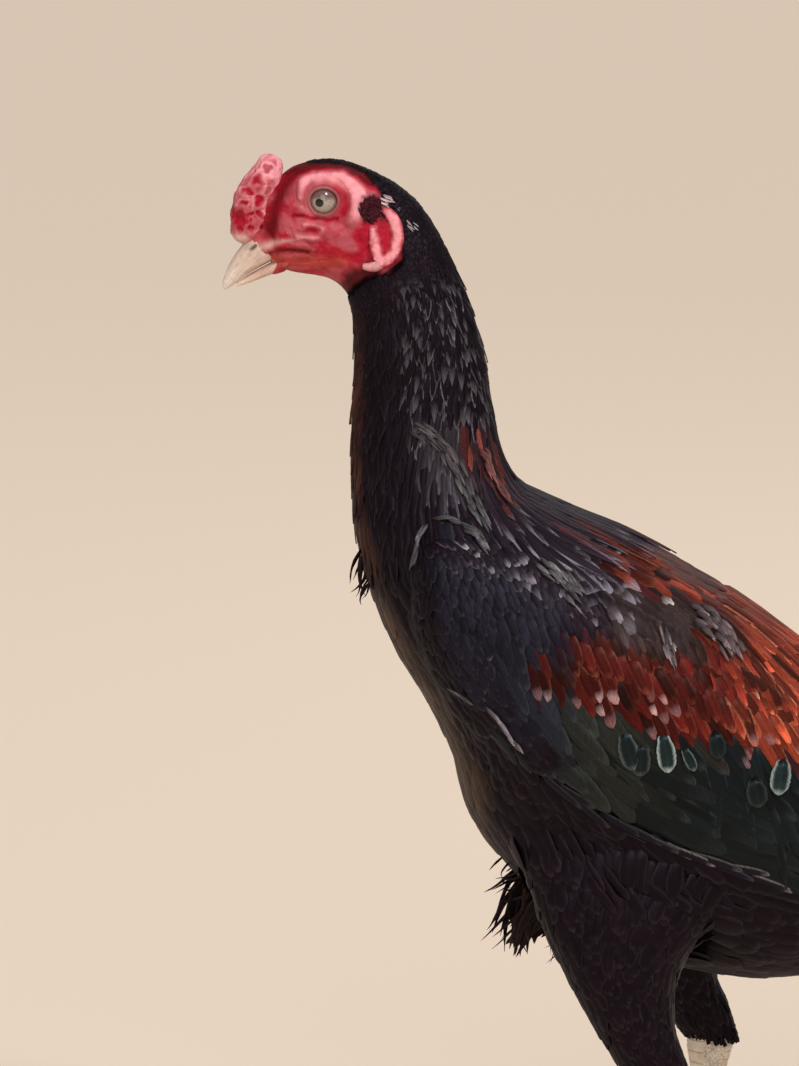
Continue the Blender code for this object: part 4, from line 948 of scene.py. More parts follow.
# Patches laid over the face's colours in this order: line, how much it wanders, width at the start and the
# end, how much it fades along, colour, share, and how sharply it ends.
FACE_PATCHES = (
    # Painted shade in the groove behind the eye and in the gap behind the comb.
    (FACE_GROOVES[3][0], 0, 2.6, 2.6, 0.0, CRIMSON * 0.9, 0.8, 2),
    (FACE_GROOVES[2][0], 2, 4.0, 4.0, 0.0, SHADE_DEEP * 1.3, 0.92, 2),
    (((-154, 559.6), (-146.5, 562.4), (-137.0, 564.3)), 0.6, 2.3, 0.7, 0.5, WEDGE, 0.8, 2),
    (((-151, 551.4), (-146, 551.6), (-141.5, 551.0)), 0.6, 2.0, 0.8, 0.5, WEDGE, 0.8, 2),
    # Painted shade in the gape's slit.
    (((-150, 556.6), (-141, 558.4), (-131, 557.9)), 1, 1.1, 1.1, 0.0, SHADE_DEEP * 0.7, 0.85, 2),
    (((-146, 552), (-133, 552), (-114, 553)), 2, 4.2, 4.2, 0.0, JAW_RED, 0.8, 2),
    # Painted shade in the fold beside the lobe and under the jaw.
    (((-99.5, 560.0), (-98.8, 554.5)), 0, 3.0, 3.0, 0.0, CRIMSON * 0.85, 0.8, 2),
    (((-97, 546), (-106, 545), (-111, 538), (-108, 531)), 2, 5.2, 5.2, 0.0, SHADE_DEEP * 0.5, 0.94, 3),
)


# The lids: radius of the opening, how far out they lie, and the middle of the ear's hollow, painted dark as
# shade under its tuft.
LID_OPENING, LID_REACH, EAR = 6.5, 17.3, (-98.4, 582.0)


def flesh_colour(rise):
    """From deep red, painted shade in the hollows, to pale pink, painted highlight on the ridges."""
    colour = blend(SHADE_DEEP, CRIMSON, smooth(rise, -1.2, -0.2))
    colour = blend(colour, ROSY, smooth(rise, 0.0, 0.8))
    return blend(colour, PINK_HIGHLIGHT, smooth(rise, 0.9, 2.6))


def make_skin():
    """One closed skin of head, neck, body, wings, thighs and tail base, lying inside the solids."""
    fine, coarse = np.linspace(0.0, HEAD_END, HEAD_DETAIL), np.linspace(HEAD_END, BODY_END, BODY_DETAIL)
    rows = np.concatenate([fine, coarse[1:]])
    u, v = crossed(rows, circle(AROUND))
    points, normals = BODY.at(u, v), BODY.normal(u, v)
    bare = inside(points[..., [0, 2]], BARE_FACE, 5.0) * smooth(-u, -7.5, -6.6)
    coat = 0.6 + 1.2 * smooth(u, 6.0, 9.0) + 0.8 * smooth(u, 13.0, 16.0)
    points = points - normals * (coat * (1 - bare))[..., None]
    s, down = wing_place(points[..., 0], points[..., 2])
    on_wing = (s > 0) & (s < 1) & (down > 0) & (down < 1) & (u > WING_START)
    on_wing = on_wing & (np.abs(normals[..., 1]) > 0.15)
    points[..., 1] += np.where(on_wing, np.sign(points[..., 1]) * wing_depth(s, down), 0.0)
    solid, quads, triangles = tube_mesh(points)
    skin = mesh_object("rooster_skin", solid, quads, triangles)
    others = []
    for form in THIGHS.values():
        tu, tv = crossed(np.linspace(0.0, form.last, 40), circle(64))
        rings = form.at(tu, tv) - form.normal(tu, tv) * 1.8
        others.append(mesh_object("thigh", *tube_mesh(rings)))
    for rings, reach in ((UPPER_BILL, 1.25), (LOWER_BILL, 0.80)):
        form = Form(rings, 2.2)
        bu, bv = crossed(np.linspace(0.0, reach, 30), circle(80))
        shorter = 0.42 * bell(bv - 0.5, 0.13) if reach > 1 else 0.0
        wavy = 0.05 * noise(np.stack([bu * 0.0, bv * 12.0, bu * 0.0], axis=-1), 1.0, 36)
        swell = 1.25 * np.sqrt(np.clip(1.0 - (bu / reach) ** 4, 0.0, 1.0)) - 0.35
        reach_out = bu * (1.0 - shorter + wavy)
        rings_out = form.at(reach_out, bv) + form.normal(reach_out + 0.01, bv) * swell[..., None]
        others.append(mesh_object("cere", *tube_mesh(rings_out)))
    base = ball((TAIL_ROOT[0] + 4, 0.0, TAIL_ROOT[1]), (28.0, 17.0, 21.0), 32.0, 48, 30)
    others.append(mesh_object("tail_base", *base))
    for obj in (skin, *others):
        outward(obj)
    united(skin, others)
    return skin


def face_rise(points, wander):
    """How far the bare face stands out in folds and creases, and its fine grain."""
    flat = points[:, [0, 2]]
    rise = np.zeros(len(points))
    for k, (line, radius, end_radius, height) in enumerate(FACE_RIDGES):
        d, along = to_line(flat + wander, smooth_line(line, 24))
        radius = radius + (end_radius - radius) * along
        swell = height * (0.8 + 0.25 * noise(points, 5.0, 40 + k))
        bump = swell * np.sqrt(np.clip(1.0 - (d / radius) ** 2, 0.0, 1.0)) ** 1.3
        rise = np.maximum(rise, bump) + 0.25 * np.minimum(rise, bump)
    for line, radius, depth in FACE_GROOVES:
        rise -= depth * bell(to_line(flat, line)[0], radius)
    fine = noise(points, 2.4, 21) + 0.6 * noise(points, 1.2, 22)
    creases = np.abs(noise(points * vec(0.8, 1.0, 1.6), 3.4, 23))
    return rise + (0.22 * fine - 0.35 * bell(creases, 0.10)), fine


def sculpt_face(skin):
    """Folds, hollows and lids of the bare face, and the skin's colours."""
    points, normals = read_points(skin)
    side, width = np.sign(points[:, 1]), np.abs(points[:, 1])
    flat = points[:, [0, 2]]
    bare = inside(flat, BARE_FACE, 3.0) * smooth(-points[:, 0], 78.0, 84.0) * smooth(points[:, 2], 532, 537)
    facing = smooth(np.abs(normals[:, 1]), 0.12, 0.45) * bare
    wander = np.stack([noise(points, 4.0, 24), noise(points, 4.0, 25)], axis=-1) * 0.5
    rise, fine = face_rise(points, wander)
    dx, dz = points[:, 0] - EYE[0], points[:, 2] - EYE[2]
    ring, slant = np.hypot(dx, dz), np.sin(np.arctan2(dz, dx))
    near_eye = smooth(-ring, -15.0, -8.6)
    rise = rise * (1 - near_eye) + near_eye * (0.15 * fine)
    opening = LID_OPENING - 0.75 * np.clip(slant, 0, 1) ** 2 - 0.20 * np.clip(-slant, 0, 1) ** 2
    outside = ring - opening
    lid = LID_REACH + 0.5 * slant + 1.7 * bell(outside - 1.15, 0.75) + 0.9 * bell(outside - 3.0, 0.8) \
        - 0.4 * bell(outside - 2.1, 0.4)
    near = smooth(-ring, -13.5, -9.5)
    shaped = (width + rise * facing) * (1 - near) + lid * near
    ball_face = EYE[1] + np.sqrt(np.clip(EYE_RADIUS**2 - ring**2, 0.0, None))
    shaped = np.where(ring < opening + 0.45, np.minimum(shaped, ball_face + outside * 2.2 - 0.35), shaped)
    on_face = (facing > 0.02) & (width > 6.0)
    points[:, 1] = side * np.where(on_face, width * (1 - facing) + shaped * facing, width)
    move_points(skin, points)
    colour = face_colour(points, flat, wander, rise, outside, near)
    colour = blend(markings(points)[0] * 0.7, colour, bare)
    set_attributes(skin.data, {"tint": opaque(colour), "bare": bare})


def face_colour(points, flat, wander, rise, outside, near):
    """The bare face's colours, paler on raised folds as painted highlight and deeper in hollows as painted
    shade, with its lids, patches and painted shade in the ear's hollow under its tuft.
    """
    # Painted light: the tone follows the folds' rise, so raised skin takes painted highlight and hollows take
    # painted shade.
    tone = 0.42 + 0.42 * rise + 0.40 * noise(points, 6.5, 31) + 0.25 * noise(points, 2.8, 32)
    for line, width, change in FACE_TONES:
        tone += change * bell(to_line(flat + wander * 1.6, line)[0], width)
    tone += 0.5 * near * bell(outside - 1.2, 0.7)
    colour = flesh_colour(tone)
    # Painted shade in the crease where the lids meet the eye.
    colour = blend(colour, SHADE_DEEP, 0.75 * bell(outside - 0.1, 0.35) * near)
    colour = blend(colour, LID_GREY, 0.75 * bell(outside - 1.2, 0.9) * near)
    for line, stray, first, last, fade, tint, share, power in FACE_PATCHES:
        d, along = to_line(flat + wander * stray, line)
        fall = np.exp(-(d / (first + (last - first) * along)) ** power)
        colour = blend(colour, tint, share * fall * (1 - fade * along))
    # Painted shade in the ear's hollow under its tuft.
    socket = np.hypot(points[:, 0] - EAR[0], points[:, 2] - EAR[1]) + 1.2 * noise(points, 2.5, 33)
    return blend(colour, EAR_SHADE_RED, 0.95 * smooth(-socket, -7.4, -4.0))


def skin_tree(skin):
    """A search tree over the finished skin, in plan millimetres."""
    points, _ = read_points(skin)
    faces = [tuple(p.vertices) for p in skin.data.polygons]
    return BVHTree.FromPolygons(points.tolist(), faces)


# Feathers

def shape_round(t):
    """A contour feather's width along it."""
    return np.where(t < 0.55, 0.5 + 0.5 * np.sin(np.pi / 2 * t / 0.55),
                    0.06 + 0.94 * np.sqrt(np.clip(1 - np.clip((t - 0.55) / 0.45, 0, 1) ** 2.2, 0, 1)))


def shape_lance(t):
    """A hackle's width: broad low down and drawn out to a point."""
    return np.where(t < 0.35, 0.55 + 0.45 * np.sin(np.pi / 2 * t / 0.35),
                    0.04 + 0.96 * (1 - np.clip((t - 0.35) / 0.65, 0, 1) ** 1.7) ** 0.9)


def shape_drop(t):
    """Narrow at the root and widest near the rounded tip."""
    away = (t - 0.66) / np.where(t < 0.66, 0.67, 0.345)
    return 0.05 + 0.95 * np.sqrt(np.clip(1 - away**2, 0, 1)) ** 1.4


def shape_blade(t):
    """A flight or tail feather's width: nearly even, with a rounded end."""
    return np.where(t < 0.3, 0.35 + 0.65 * np.sin(np.pi / 2 * t / 0.3),
                    0.06 + 0.94 * np.sqrt(np.clip(1 - np.clip((t - 0.72) / 0.28, 0, 1) ** 2.4, 0, 1)))


# The most triangles in one mesh of the coat, a feather's size on the unwrap, and how high its shaft stands.
PIECE_LIMIT, PATCH_SIZE, SHAFT = 190000, (0.0015, 0.003), 0.15
# The net of the coat's outermost places in side view: its cell, where it starts and how many cells it has.
NET_CELL, NET_START, NET_SIZE = 1.5, 310.0, (470, 440)


def joined_feathers(name, group, material, slot):
    """One mesh of the feathers in a group, with their tint, rim and place, unwrap and sharp edges."""
    faces, values = ("quads", "triangles"), ("points", "tint", "rim", "place", "patch", "sharp")
    parts = {key: [] for key in (*faces, *values)}
    first = 0
    for batch, start, fit in group:
        low, high = start * batch["stride"], (start + fit) * batch["stride"]
        for key in values:
            parts[key].append(batch[key][low:high])
        for key in faces:
            each = len(batch[key]) // batch["count"]
            parts[key].append(batch[key][start * each:(start + fit) * each] - low + first)
        first += high - low
    whole = {key: np.concatenate(arrays) for key, arrays in parts.items()}
    attributes = {key: whole[key] for key in ("tint", "rim", "place")}
    obj = mesh_object(name, whole["points"], whole["quads"], whole["triangles"], attributes, whole["patch"],
                      whole["sharp"])
    dress(obj, material, slot)


class Coat:
    """Feathers gathered by slot, and made into joined meshes at the end."""

    def __init__(self):
        self.batches = {"plumage_black": [], "plumage_red": [], "plumage_green": []}

    def add(self, slot, points, normals, half, look, seed, root, columns=1, shape=shape_round, thick=0.45,
            camber=0.22, roll=0.0, ragged=0.05):
        """Feathers along paths of points. look holds tint, tip, rim and rim_share for each feather, and may
        hold start, where the tip's colour begins."""
        count, steps = points.shape[:2]
        rng = np.random.default_rng(seed)
        strides = np.linalg.norm(np.diff(points, axis=1), axis=2)
        reach = np.concatenate([np.zeros((count, 1)), np.cumsum(strides, axis=1)], axis=1)
        whole = reach[:, -1:]
        t = reach / whole
        width = shape(t) * half[:, None]
        width = width * (1 + ragged * rng.standard_normal(width.shape))
        tangent = unit(np.gradient(points, axis=1))
        normal = unit(normals - tangent * dot(normals, tangent)[..., None])
        side = np.cross(tangent, normal)
        angle = np.radians(np.broadcast_to(roll, count))
        c, s = np.cos(angle)[:, None, None], np.sin(angle)[:, None, None]
        side, normal = side * c + normal * s, normal * c - side * s
        a = np.linspace(-1.0, 1.0, columns + 2)
        across = np.concatenate([a, a[-2:0:-1]])
        upper = np.concatenate([np.ones(columns + 2), -np.ones(columns)])
        swell = np.cos(across * np.pi / 2)
        height = camber * (1 - across**2) * width[..., None] + upper * swell * thick / 2
        height = height + SHAFT * (np.abs(across) < 0.01) * upper
        ring = points[:, :, None] + side[:, :, None] * (across * width[..., None])[..., None] \
            + normal[:, :, None] * height[..., None]
        m = len(across)
        one = grid_faces(steps, m)
        low = np.stack([np.zeros(m - 2, int), np.arange(2, m), np.arange(1, m - 1)], axis=1)
        high = (steps - 1) * m + low[:, [0, 2, 1]]
        ends = np.concatenate([low, high])
        first = (np.arange(count) * steps * m)[:, None, None]
        along = np.broadcast_to(t[..., None], ring.shape[:-1])
        wide = np.broadcast_to(across, ring.shape[:-1])
        phase = (along * whole[..., None] + np.abs(wide) * width[..., None] * 1.2) / 0.8
        chance = rng.uniform(size=(count, 1, 1))
        begins = look.get("start", np.full(count, 0.5))[:, None, None]
        toward = smooth((along - begins) / (0.97 - begins), 0.0, 0.75)[..., None]
        tint = look["tint"][:, None, None] * (1 - toward) + look["tip"][:, None, None] * toward
        tint = tint * (0.55 + 0.45 * smooth(along, 0.1, 0.4))[..., None]
        tint = np.concatenate([tint, np.broadcast_to(chance[..., None], (*tint.shape[:-1], 1))], axis=-1)
        rim = np.concatenate([look["rim"], look["rim_share"][:, None]], axis=1)
        rim = np.broadcast_to(rim[:, None, None], (*ring.shape[:-1], 4))
        patch = root[:, None, None] + np.stack([wide, along - 0.5], axis=-1) * PATCH_SIZE
        self.batches[slot].append({
            "points": ring.reshape(-1, 3), "quads": (one[None] + first).reshape(-1, 4),
            "triangles": (ends[None] + first).reshape(-1, 3), "tint": tint.reshape(-1, 4),
            "rim": rim.reshape(-1, 4), "place": np.stack([along, wide, phase], axis=-1).reshape(-1, 3),
            "patch": patch.reshape(-1, 2),
            "sharp": np.broadcast_to(np.abs(across) > 0.99, ring.shape[:-1]).ravel(),
            "size": len(one) * 2 + len(ends), "stride": steps * m, "count": count,
        })

    def relief(self, side):
        """How far the feathers made so far reach to one side, on the net in side view."""
        tall = np.zeros(NET_SIZE)
        for batches in self.batches.values():
            for batch in batches:
                points = batch["points"][batch["points"][:, 1] * side > 0]
                cells = np.floor((points[:, [0, 2]] + vec(NET_START, 0.0)) / NET_CELL).astype(int)
                np.maximum.at(tall, (cells[:, 0], cells[:, 1]), points[:, 1] * side)
        grown = tall.copy()
        for dx in (-1, 0, 1):
            for dz in (-1, 0, 1):
                grown = np.maximum(grown, np.roll(tall, (dx, dz), (0, 1)))
        return grown

    def make(self, materials):
        """Makes the joined meshes, none with more triangles than the limit."""
        for slot, batches in self.batches.items():
            groups, room = [[]], PIECE_LIMIT
            for batch in batches:
                start = 0
                while start < batch["count"]:
                    fit = min(batch["count"] - start, room // batch["size"])
                    if fit <= 0:
                        groups.append([])
                        room = PIECE_LIMIT
                        continue
                    groups[-1].append((batch, start, fit))
                    room -= fit * batch["size"]
                    start += fit
            for number, group in enumerate(g for g in groups if g):
                joined_feathers(f"{slot}_{number + 1}", group, materials[slot], slot)


COAT = Coat()


def stations(steps):
    """Shares of a feather's length, closer together towards the tip."""
    return np.sin(np.linspace(0.0, np.pi / 2, steps + 1) * 0.92) / math.sin(np.pi / 2 * 0.92)


def drape(points, normals, tree):
    """Heights of the skin over a path's points, along their normals, evened so that the vane is straight."""
    reach = 34.0
    count, steps = points.shape[:2]
    starts = (points + normals * reach).reshape(-1, 3)
    ways = -normals.reshape(-1, 3)
    heights = np.full(len(starts), np.nan)
    for k, (start, way) in enumerate(zip(starts.tolist(), ways.tolist())):
        hit = tree.ray_cast(Vector(start), Vector(way), reach * 2)
        if hit[0] is not None:
            heights[k] = reach - hit[3]
    heights = heights.reshape(count, steps)
    for k in range(steps):
        empty = np.isnan(heights[:, k])
        heights[empty, k] = heights[empty, k - 1] if k else 0.0
    for _ in range(9):
        middle = (heights[:, :-2] + heights[:, 2:]) / 2
        heights[:, 1:-1] = np.maximum(heights[:, 1:-1], middle)
    return heights


# How feathers on a form vary: in length, in heading and in tilt, both in degrees. How deep their roots sink.
LENGTHS, HEADINGS, ROLLS, ROOT_SUNK = (0.88, 1.12), 5.0, 2.5, 2.2


def plant(form, tree, u, v, heading, length, half, seed, steps, lift, loose=0.3, over=0.0, sway=0.0,
          look=None, unwrap=((0.01, 0.01), (0.98, 0.48)), roll=0.0, leap=99.0, **settings):
    """Feathers rooted at places on a form, laid over the skin, and coloured by where they show."""
    rng = np.random.default_rng(seed)
    count = len(u)
    length = length * rng.uniform(*LENGTHS, count)
    heading = heading + rng.normal(0.0, HEADINGS, count)
    share = stations(steps)
    points, normals = walk(form, u, v, heading, length[:, None] * np.diff(share)[None])
    height = drape(points, normals, tree)
    rise = lift * (1 + loose * rng.standard_normal(count))[:, None] * length[:, None] * share**1.15
    lies = (height.max(axis=1) - height.min(axis=1) < 1.7 * leap) & (np.abs(height[:, 0]) < leap)
    height = height - 0.5 - ROOT_SUNK * (1 - smooth(share, 0.0, 0.24))
    height = height + np.reshape(over, (-1, 1)) * smooth(share, 0.0, 0.3) + rise
    points = points + normals * height[..., None]
    tangent = unit(np.gradient(points, axis=1))
    side = np.cross(tangent, normals)
    bend = (sway * rng.standard_normal(count))[:, None] * length[:, None] * share**2
    points = points + side * bend[..., None]
    shown = points[:, int(steps * 0.6)]
    looks, slot = (look or body_look)(shown, rng, points[:, -2])
    offset, scale = unwrap
    root = np.stack([offset[0] + scale[0] * u / form.last, offset[1] + scale[1] * (v % 1.0)], axis=1)
    rolls = roll + rng.normal(0.0, ROLLS, count)
    half = np.broadcast_to(half, count)
    for name in COAT.batches:
        chosen = (slot == name) & lies
        if chosen.any():
            part = {key: value[chosen] for key, value in looks.items()}
            COAT.add(name, points[chosen], normals[chosen], half[chosen], part, seed + 1, root=root[chosen],
                     roll=rolls[chosen], **settings)


# Feathers whose tips show pale in the side view, painted highlights where the tips catch the light: place and
# colour.
HIGHLIGHT_TIPS = (
    (668, 646, 0.38, 0.36, 0.34), (640, 606, 0.24, 0.23, 0.23),
    (675, 603, 0.50, 0.47, 0.44), (679, 623, 0.46, 0.44, 0.42), (653, 627, 0.34, 0.33, 0.31),
    (664, 636, 0.42, 0.41, 0.39), (664, 655, 0.36, 0.35, 0.33), (697, 622, 0.32, 0.31, 0.28),
    (706, 634, 0.36, 0.34, 0.31), (720, 648, 0.30, 0.28, 0.26), (618, 600, 0.16, 0.15, 0.16),
    (632, 614, 0.17, 0.16, 0.17), (756, 696, 0.60, 0.35, 0.25), (718, 704, 0.55, 0.22, 0.16),
    (647, 711, 0.50, 0.30, 0.30), (637, 709, 0.34, 0.22, 0.24), (611, 697, 0.34, 0.22, 0.22),
    (598, 703, 0.30, 0.20, 0.22), (662, 705, 0.34, 0.20, 0.20), (548, 692, 0.20, 0.15, 0.17),
    (546, 572, 0.36, 0.34, 0.42), (531, 555, 0.24, 0.23, 0.30), (470, 545, 0.34, 0.32, 0.34),
    (480, 558, 0.32, 0.30, 0.32), (462, 528, 0.26, 0.25, 0.26), (436, 530, 0.26, 0.25, 0.26),
    (452, 524, 0.22, 0.21, 0.22), (516, 566, 0.30, 0.28, 0.33), (505, 548, 0.26, 0.25, 0.30),
    (596, 622, 0.16, 0.14, 0.17), (573, 620, 0.14, 0.13, 0.16),
    (505, 512, 0.36, 0.34, 0.36), (509, 518, 0.30, 0.28, 0.30), (478, 516, 0.22, 0.21, 0.22),
    (428, 524, 0.20, 0.20, 0.20), (420, 548, 0.14, 0.14, 0.14), (493, 570, 0.16, 0.16, 0.17),
)
# Zones in side view: the neck, with painted highlights on rims and tips; the lower neck's side, painted with
# a grey sheen; and the cape and back, with painted highlights on single tips.
NECK_ZONE = ((398, 290), (470, 280), (492, 400), (486, 450), (430, 440), (402, 400))
GREY_SHEEN_ZONE = ((412, 424), (440, 440), (472, 482), (484, 522), (452, 528), (426, 505), (410, 462))
GLINT_ZONE = ((505, 528), (560, 530), (606, 560), (640, 590), (620, 632), (570, 600), (530, 590), (500, 560))
RUST, RED_RIM = vec(0.125, 0.032, 0.026), vec(0.29, 0.080, 0.044)


def plain_look(tint, brighter, rim, share):
    """Colours of feathers whose tips are the tint made brighter."""
    return {"tint": tint, "tip": tint * brighter, "rim": rim, "rim_share": np.full(len(tint), share)}


def patch_places(count, across, up):
    """Places on the unwrap for count feathers."""
    return np.stack([np.full(count, across), np.full(count, up)], axis=1)


def body_look(shown, rng, tips):
    """Colours of feathers by where they show on the bird, with painted grey-lilac highlights on feather rims
    and tips over the neck, cape and back.
    """
    count = len(shown)
    tint, red = markings(shown)
    place, ends = picture_place(shown), picture_place(tips)
    tint = tint * varied(rng, count, 0.25)
    tip = tint * varied(rng, count, 0.22, 0.05)
    # Painted highlight: grey-lilac rims where the feathers' edges catch the light, strongest on cape and
    # neck.
    rim = LILAC_HIGHLIGHT * varied(rng, count, 0.35)
    chance, second = rng.uniform(size=count), rng.uniform(size=count)
    cape, glint = inside(place, CAPE_ZONE, 30), inside(place, GLINT_ZONE, 16)
    neck, bow = inside(place, NECK_ZONE, 24), inside(place, BOW_ZONE, 20)
    patch = inside(place, GREY_SHEEN_ZONE, 14)
    share = 0.04 + 0.35 * cape * (chance > 0.3) + 0.38 * neck * (chance > 0.5) + 0.05 * bow * (chance > 0.5)
    share = share + 0.5 * patch * (chance > 0.2)
    # Painted highlights on the tips of some feathers over the cape and back, with the others there darker,
    # and a painted grey sheen on the lower neck's side.
    tint = tint * (1 - 0.45 * glint * (second < 0.55))[:, None]
    tint = blend(tint, LILAC_HIGHLIGHT * 0.14, 0.7 * patch)
    tip = blend(tip, LILAC_HIGHLIGHT * 1.15, 0.8 * glint * (second > 0.55))
    tip = blend(tip, LILAC_HIGHLIGHT * 0.38, 0.8 * np.maximum(patch, neck * (second > 0.6)))
    start = np.where(glint > 0.5, 0.62, 0.5)
    nape = inside(place, RED_ZONES[2], 10)
    streaked = (red > 0.5) | (nape > 0.6)
    right = smooth(place[:, 0], 700, 770) * (1 - 0.5 * smooth(place[:, 0], 880, 980))
    rusty = RUST * varied(rng, count, 0.25)
    tint, tip = blend(tint, rusty, 0.9 * nape), blend(tip, rusty * 1.25, 0.9 * nape)
    shade = np.where(second < 0.26 + 0.12 * right - 0.20 * nape, 0.42, 1.12 - 0.12 * nape)[:, None]
    early = (1 - smooth(place[:, 0:1], 580, 640)) + 1.2 * (1 - smooth(place[:, 0:1], 556, 592))
    shade = shade * (1 - 0.25 * early * (1 - nape[:, None]))
    tint = np.where(streaked[:, None], tint * shade, tint)
    front = streaked & (second < 0.6 * (1 - smooth(place[:, 0], 560, 590)))
    tint = np.where(front[:, None], blend(tint, BLUE_BLACK, np.full(count, 0.85)), tint)
    bright = (1.0 + 1.6 * (chance > 0.62) * right)[:, None]
    tip = np.where(streaked[:, None], tip * shade * bright, tip)
    tip = np.where(front[:, None], tip * 0.45, tip)
    light = RED_RIM * (1 + 0.9 * right[:, None]) * varied(rng, count, 0.3)
    rim = np.where(streaked[:, None], light, rim)
    share = np.where(streaked, 0.06 + (0.22 + 0.5 * right) * (chance > 0.5 - 0.2 * right), share)
    # Painted highlights on the tips listed above, each on the nearest feather's tip.
    for x, z, *pale in HIGHLIGHT_TIPS:
        away = np.linalg.norm(ends - vec(x, z), axis=1)
        chosen = (away == away.min()) & (away < 9)
        tip[chosen], start[chosen] = pale, 0.76
    slot = np.where(streaked, "plumage_red", "plumage_black").astype(object)
    green = (inside(place, GREEN_ZONE, 4) > 0.5) & ~streaked
    slot[green] = "plumage_green"
    return {"tint": tint, "tip": tip, "rim": rim, "rim_share": np.clip(share, 0, 1), "start": start}, slot


def crown_feathers(tree):
    """Tiny feathers from behind the comb over the crown and down the nape."""
    u, v = field(BODY, 1.0, 8.0, 1.9, 2.1, 11)
    at = BODY.at(u, v)
    keep = (inside(at[:, [0, 2]], BARE_FACE, 1.0) < 0.35) & (at[:, 2] > 530)
    u, v = u[keep], v[keep]
    size = 4.4 + 2.6 * smooth(u, 4.0, 8.0)
    plant(BODY, tree, u, v, 0.0, size, 0.27 * size, 101, steps=4, lift=0.11, thick=0.25, camber=0.3)


def neck_feathers(tree):
    """Slender feathers down the whole neck."""
    u, v = field(BODY, 7.3, 14.0, lambda u: 3.4 + 0.42 * (u - 7), lambda u: 2.6 + 0.20 * (u - 7), 12)
    at = BODY.at(u, v)
    keep = inside(at[:, [0, 2]], BARE_FACE, 1.0) < 0.3
    u, v = u[keep], v[keep]
    size = 11.0 + 2.6 * (u - 7.0)
    turn = np.minimum(v % 1.0, 1 - v % 1.0)
    heading = 10.0 * np.sin(2 * np.pi * v) * smooth(turn, 0.0, 0.2)
    plant(BODY, tree, u, v, heading, size, 0.105 * size + 0.5, 102, steps=6, columns=3, lift=0.07,
          shape=shape_lance, thick=0.35, camber=0.25, sway=0.05, loose=0.4)


def body_feathers(tree):
    """Breast, flanks, back and belly, apart from what the folded wing hides."""
    u, v = field(BODY, 14.0, 25.6, 6.3, 6.6, 13)
    at = BODY.at(u, v)
    s, down = wing_place(at[:, 0], at[:, 2])
    hidden = (s > 0.08) & (s < 0.95) & (down > 0.08) & (down < 0.90) & (np.abs(BODY.normal(u, v)[:, 1]) > 0.3)
    u, v = u[~hidden], v[~hidden]
    turn = np.abs((v % 1.0) - 0.5) * 2
    size = 24.0 + 6.0 * smooth(u, 19, 25) + 4.0 * smooth(turn, 0.6, 1.0)
    heading = 8.0 * np.sin(2 * np.pi * v)
    at = BODY.at(u, v)
    over = 1.2 * smooth(-at[:, 2], -315.0, -285.0)
    plant(BODY, tree, u, v, heading, size, 0.23 * size, 103, steps=6, columns=3, lift=0.042, camber=0.16,
          thick=0.3, ragged=0.07, over=over, leap=np.where(at[:, 0] > 55.0, 4.5, 7.0))


def shoulder_feathers(tree):
    """Feathers that run over the front edge of the folded wing and close the seam there."""
    u, v = field(BODY, 12.0, 21.0, 4.6, 4.8, 19)
    at = BODY.at(u, v)
    s, down = wing_place(at[:, 0], at[:, 2])
    seam = (s > -0.07) & (s < 0.035) & (down > -0.05) & (down < 1.1)
    below = (down > 0.86) & (down < 1.05) & (s > 0.0) & (s < 0.32)
    keep = (seam | below) & (np.abs(BODY.normal(u, v)[:, 1]) > 0.2)
    u, v = u[keep], v[keep]
    plant(BODY, tree, u, v, 8.0 * np.sin(2 * np.pi * v), 19.0, 3.9, 119, steps=6, columns=3, lift=0.07,
          over=1.6, camber=0.2, thick=0.3, ragged=0.07)


def thigh_feathers(tree):
    """Feathers down both thighs to the hock."""
    for k, form in enumerate(THIGHS.values()):
        unwrap = ((0.02, 0.76 + 0.12 * k), (0.5, 0.1))
        u, v = field(form, 0.0, 4.5, lambda u: 5.4 - 0.35 * u, lambda u: 5.4 - 0.4 * u, 14 + k)
        size = 22.0 - 1.4 * u
        half = size * (0.22 - 0.018 * u)
        plant(form, tree, u, v, 0.0, size, half, 104 + k, steps=5, columns=3, lift=0.05,
              camber=0.18, thick=0.3, ragged=0.1, loose=0.5, leap=9.0, unwrap=unwrap)
        u, v = field(form, 4.2, 4.95, 2.3, 2.1, 24 + k)
        plant(form, tree, u, v, 0.0, 12.5, 1.25, 114 + k, steps=5, columns=1, lift=0.05,
              shape=shape_lance, camber=0.2, thick=0.25, ragged=0.15, loose=0.6, sway=0.06, unwrap=unwrap)


def cape_feathers(tree):
    """Long hackles from the lower neck over the shoulders."""
    u, v = field(BODY, 11.0, 14.9, 7.5, 4.8, 31, (-0.30, 0.30))
    turn = v / 0.30
    size = (42.0 + 7.0 * (u - 11.0)) * (1 - 0.25 * np.abs(turn))
    plant(BODY, tree, u, v, 15.0 * turn, size, 2.2 + 0.02 * size, 131, steps=10, columns=3, lift=0.02,
          over=1.2, shape=shape_lance, thick=0.45, camber=0.3, sway=0.05, loose=0.3)


def saddle_feathers(tree):
    """Pointed saddle hackles that hang to both sides before the tail."""
    u, v = field(BODY, 18.6, 25.2, 8.0, 5.6, 32, (-0.21, 0.21))
    turn = v / 0.21
    size = (50.0 + 7.5 * (u - 19.2)) * (1 - 0.12 * np.abs(turn))
    plant(BODY, tree, u, v, 36.0 * turn, size, 3.2 + 0.012 * size, 132, steps=11, columns=3, lift=0.03,
          over=1.8, shape=shape_lance, thick=0.45, camber=0.3, sway=0.05, loose=0.3)


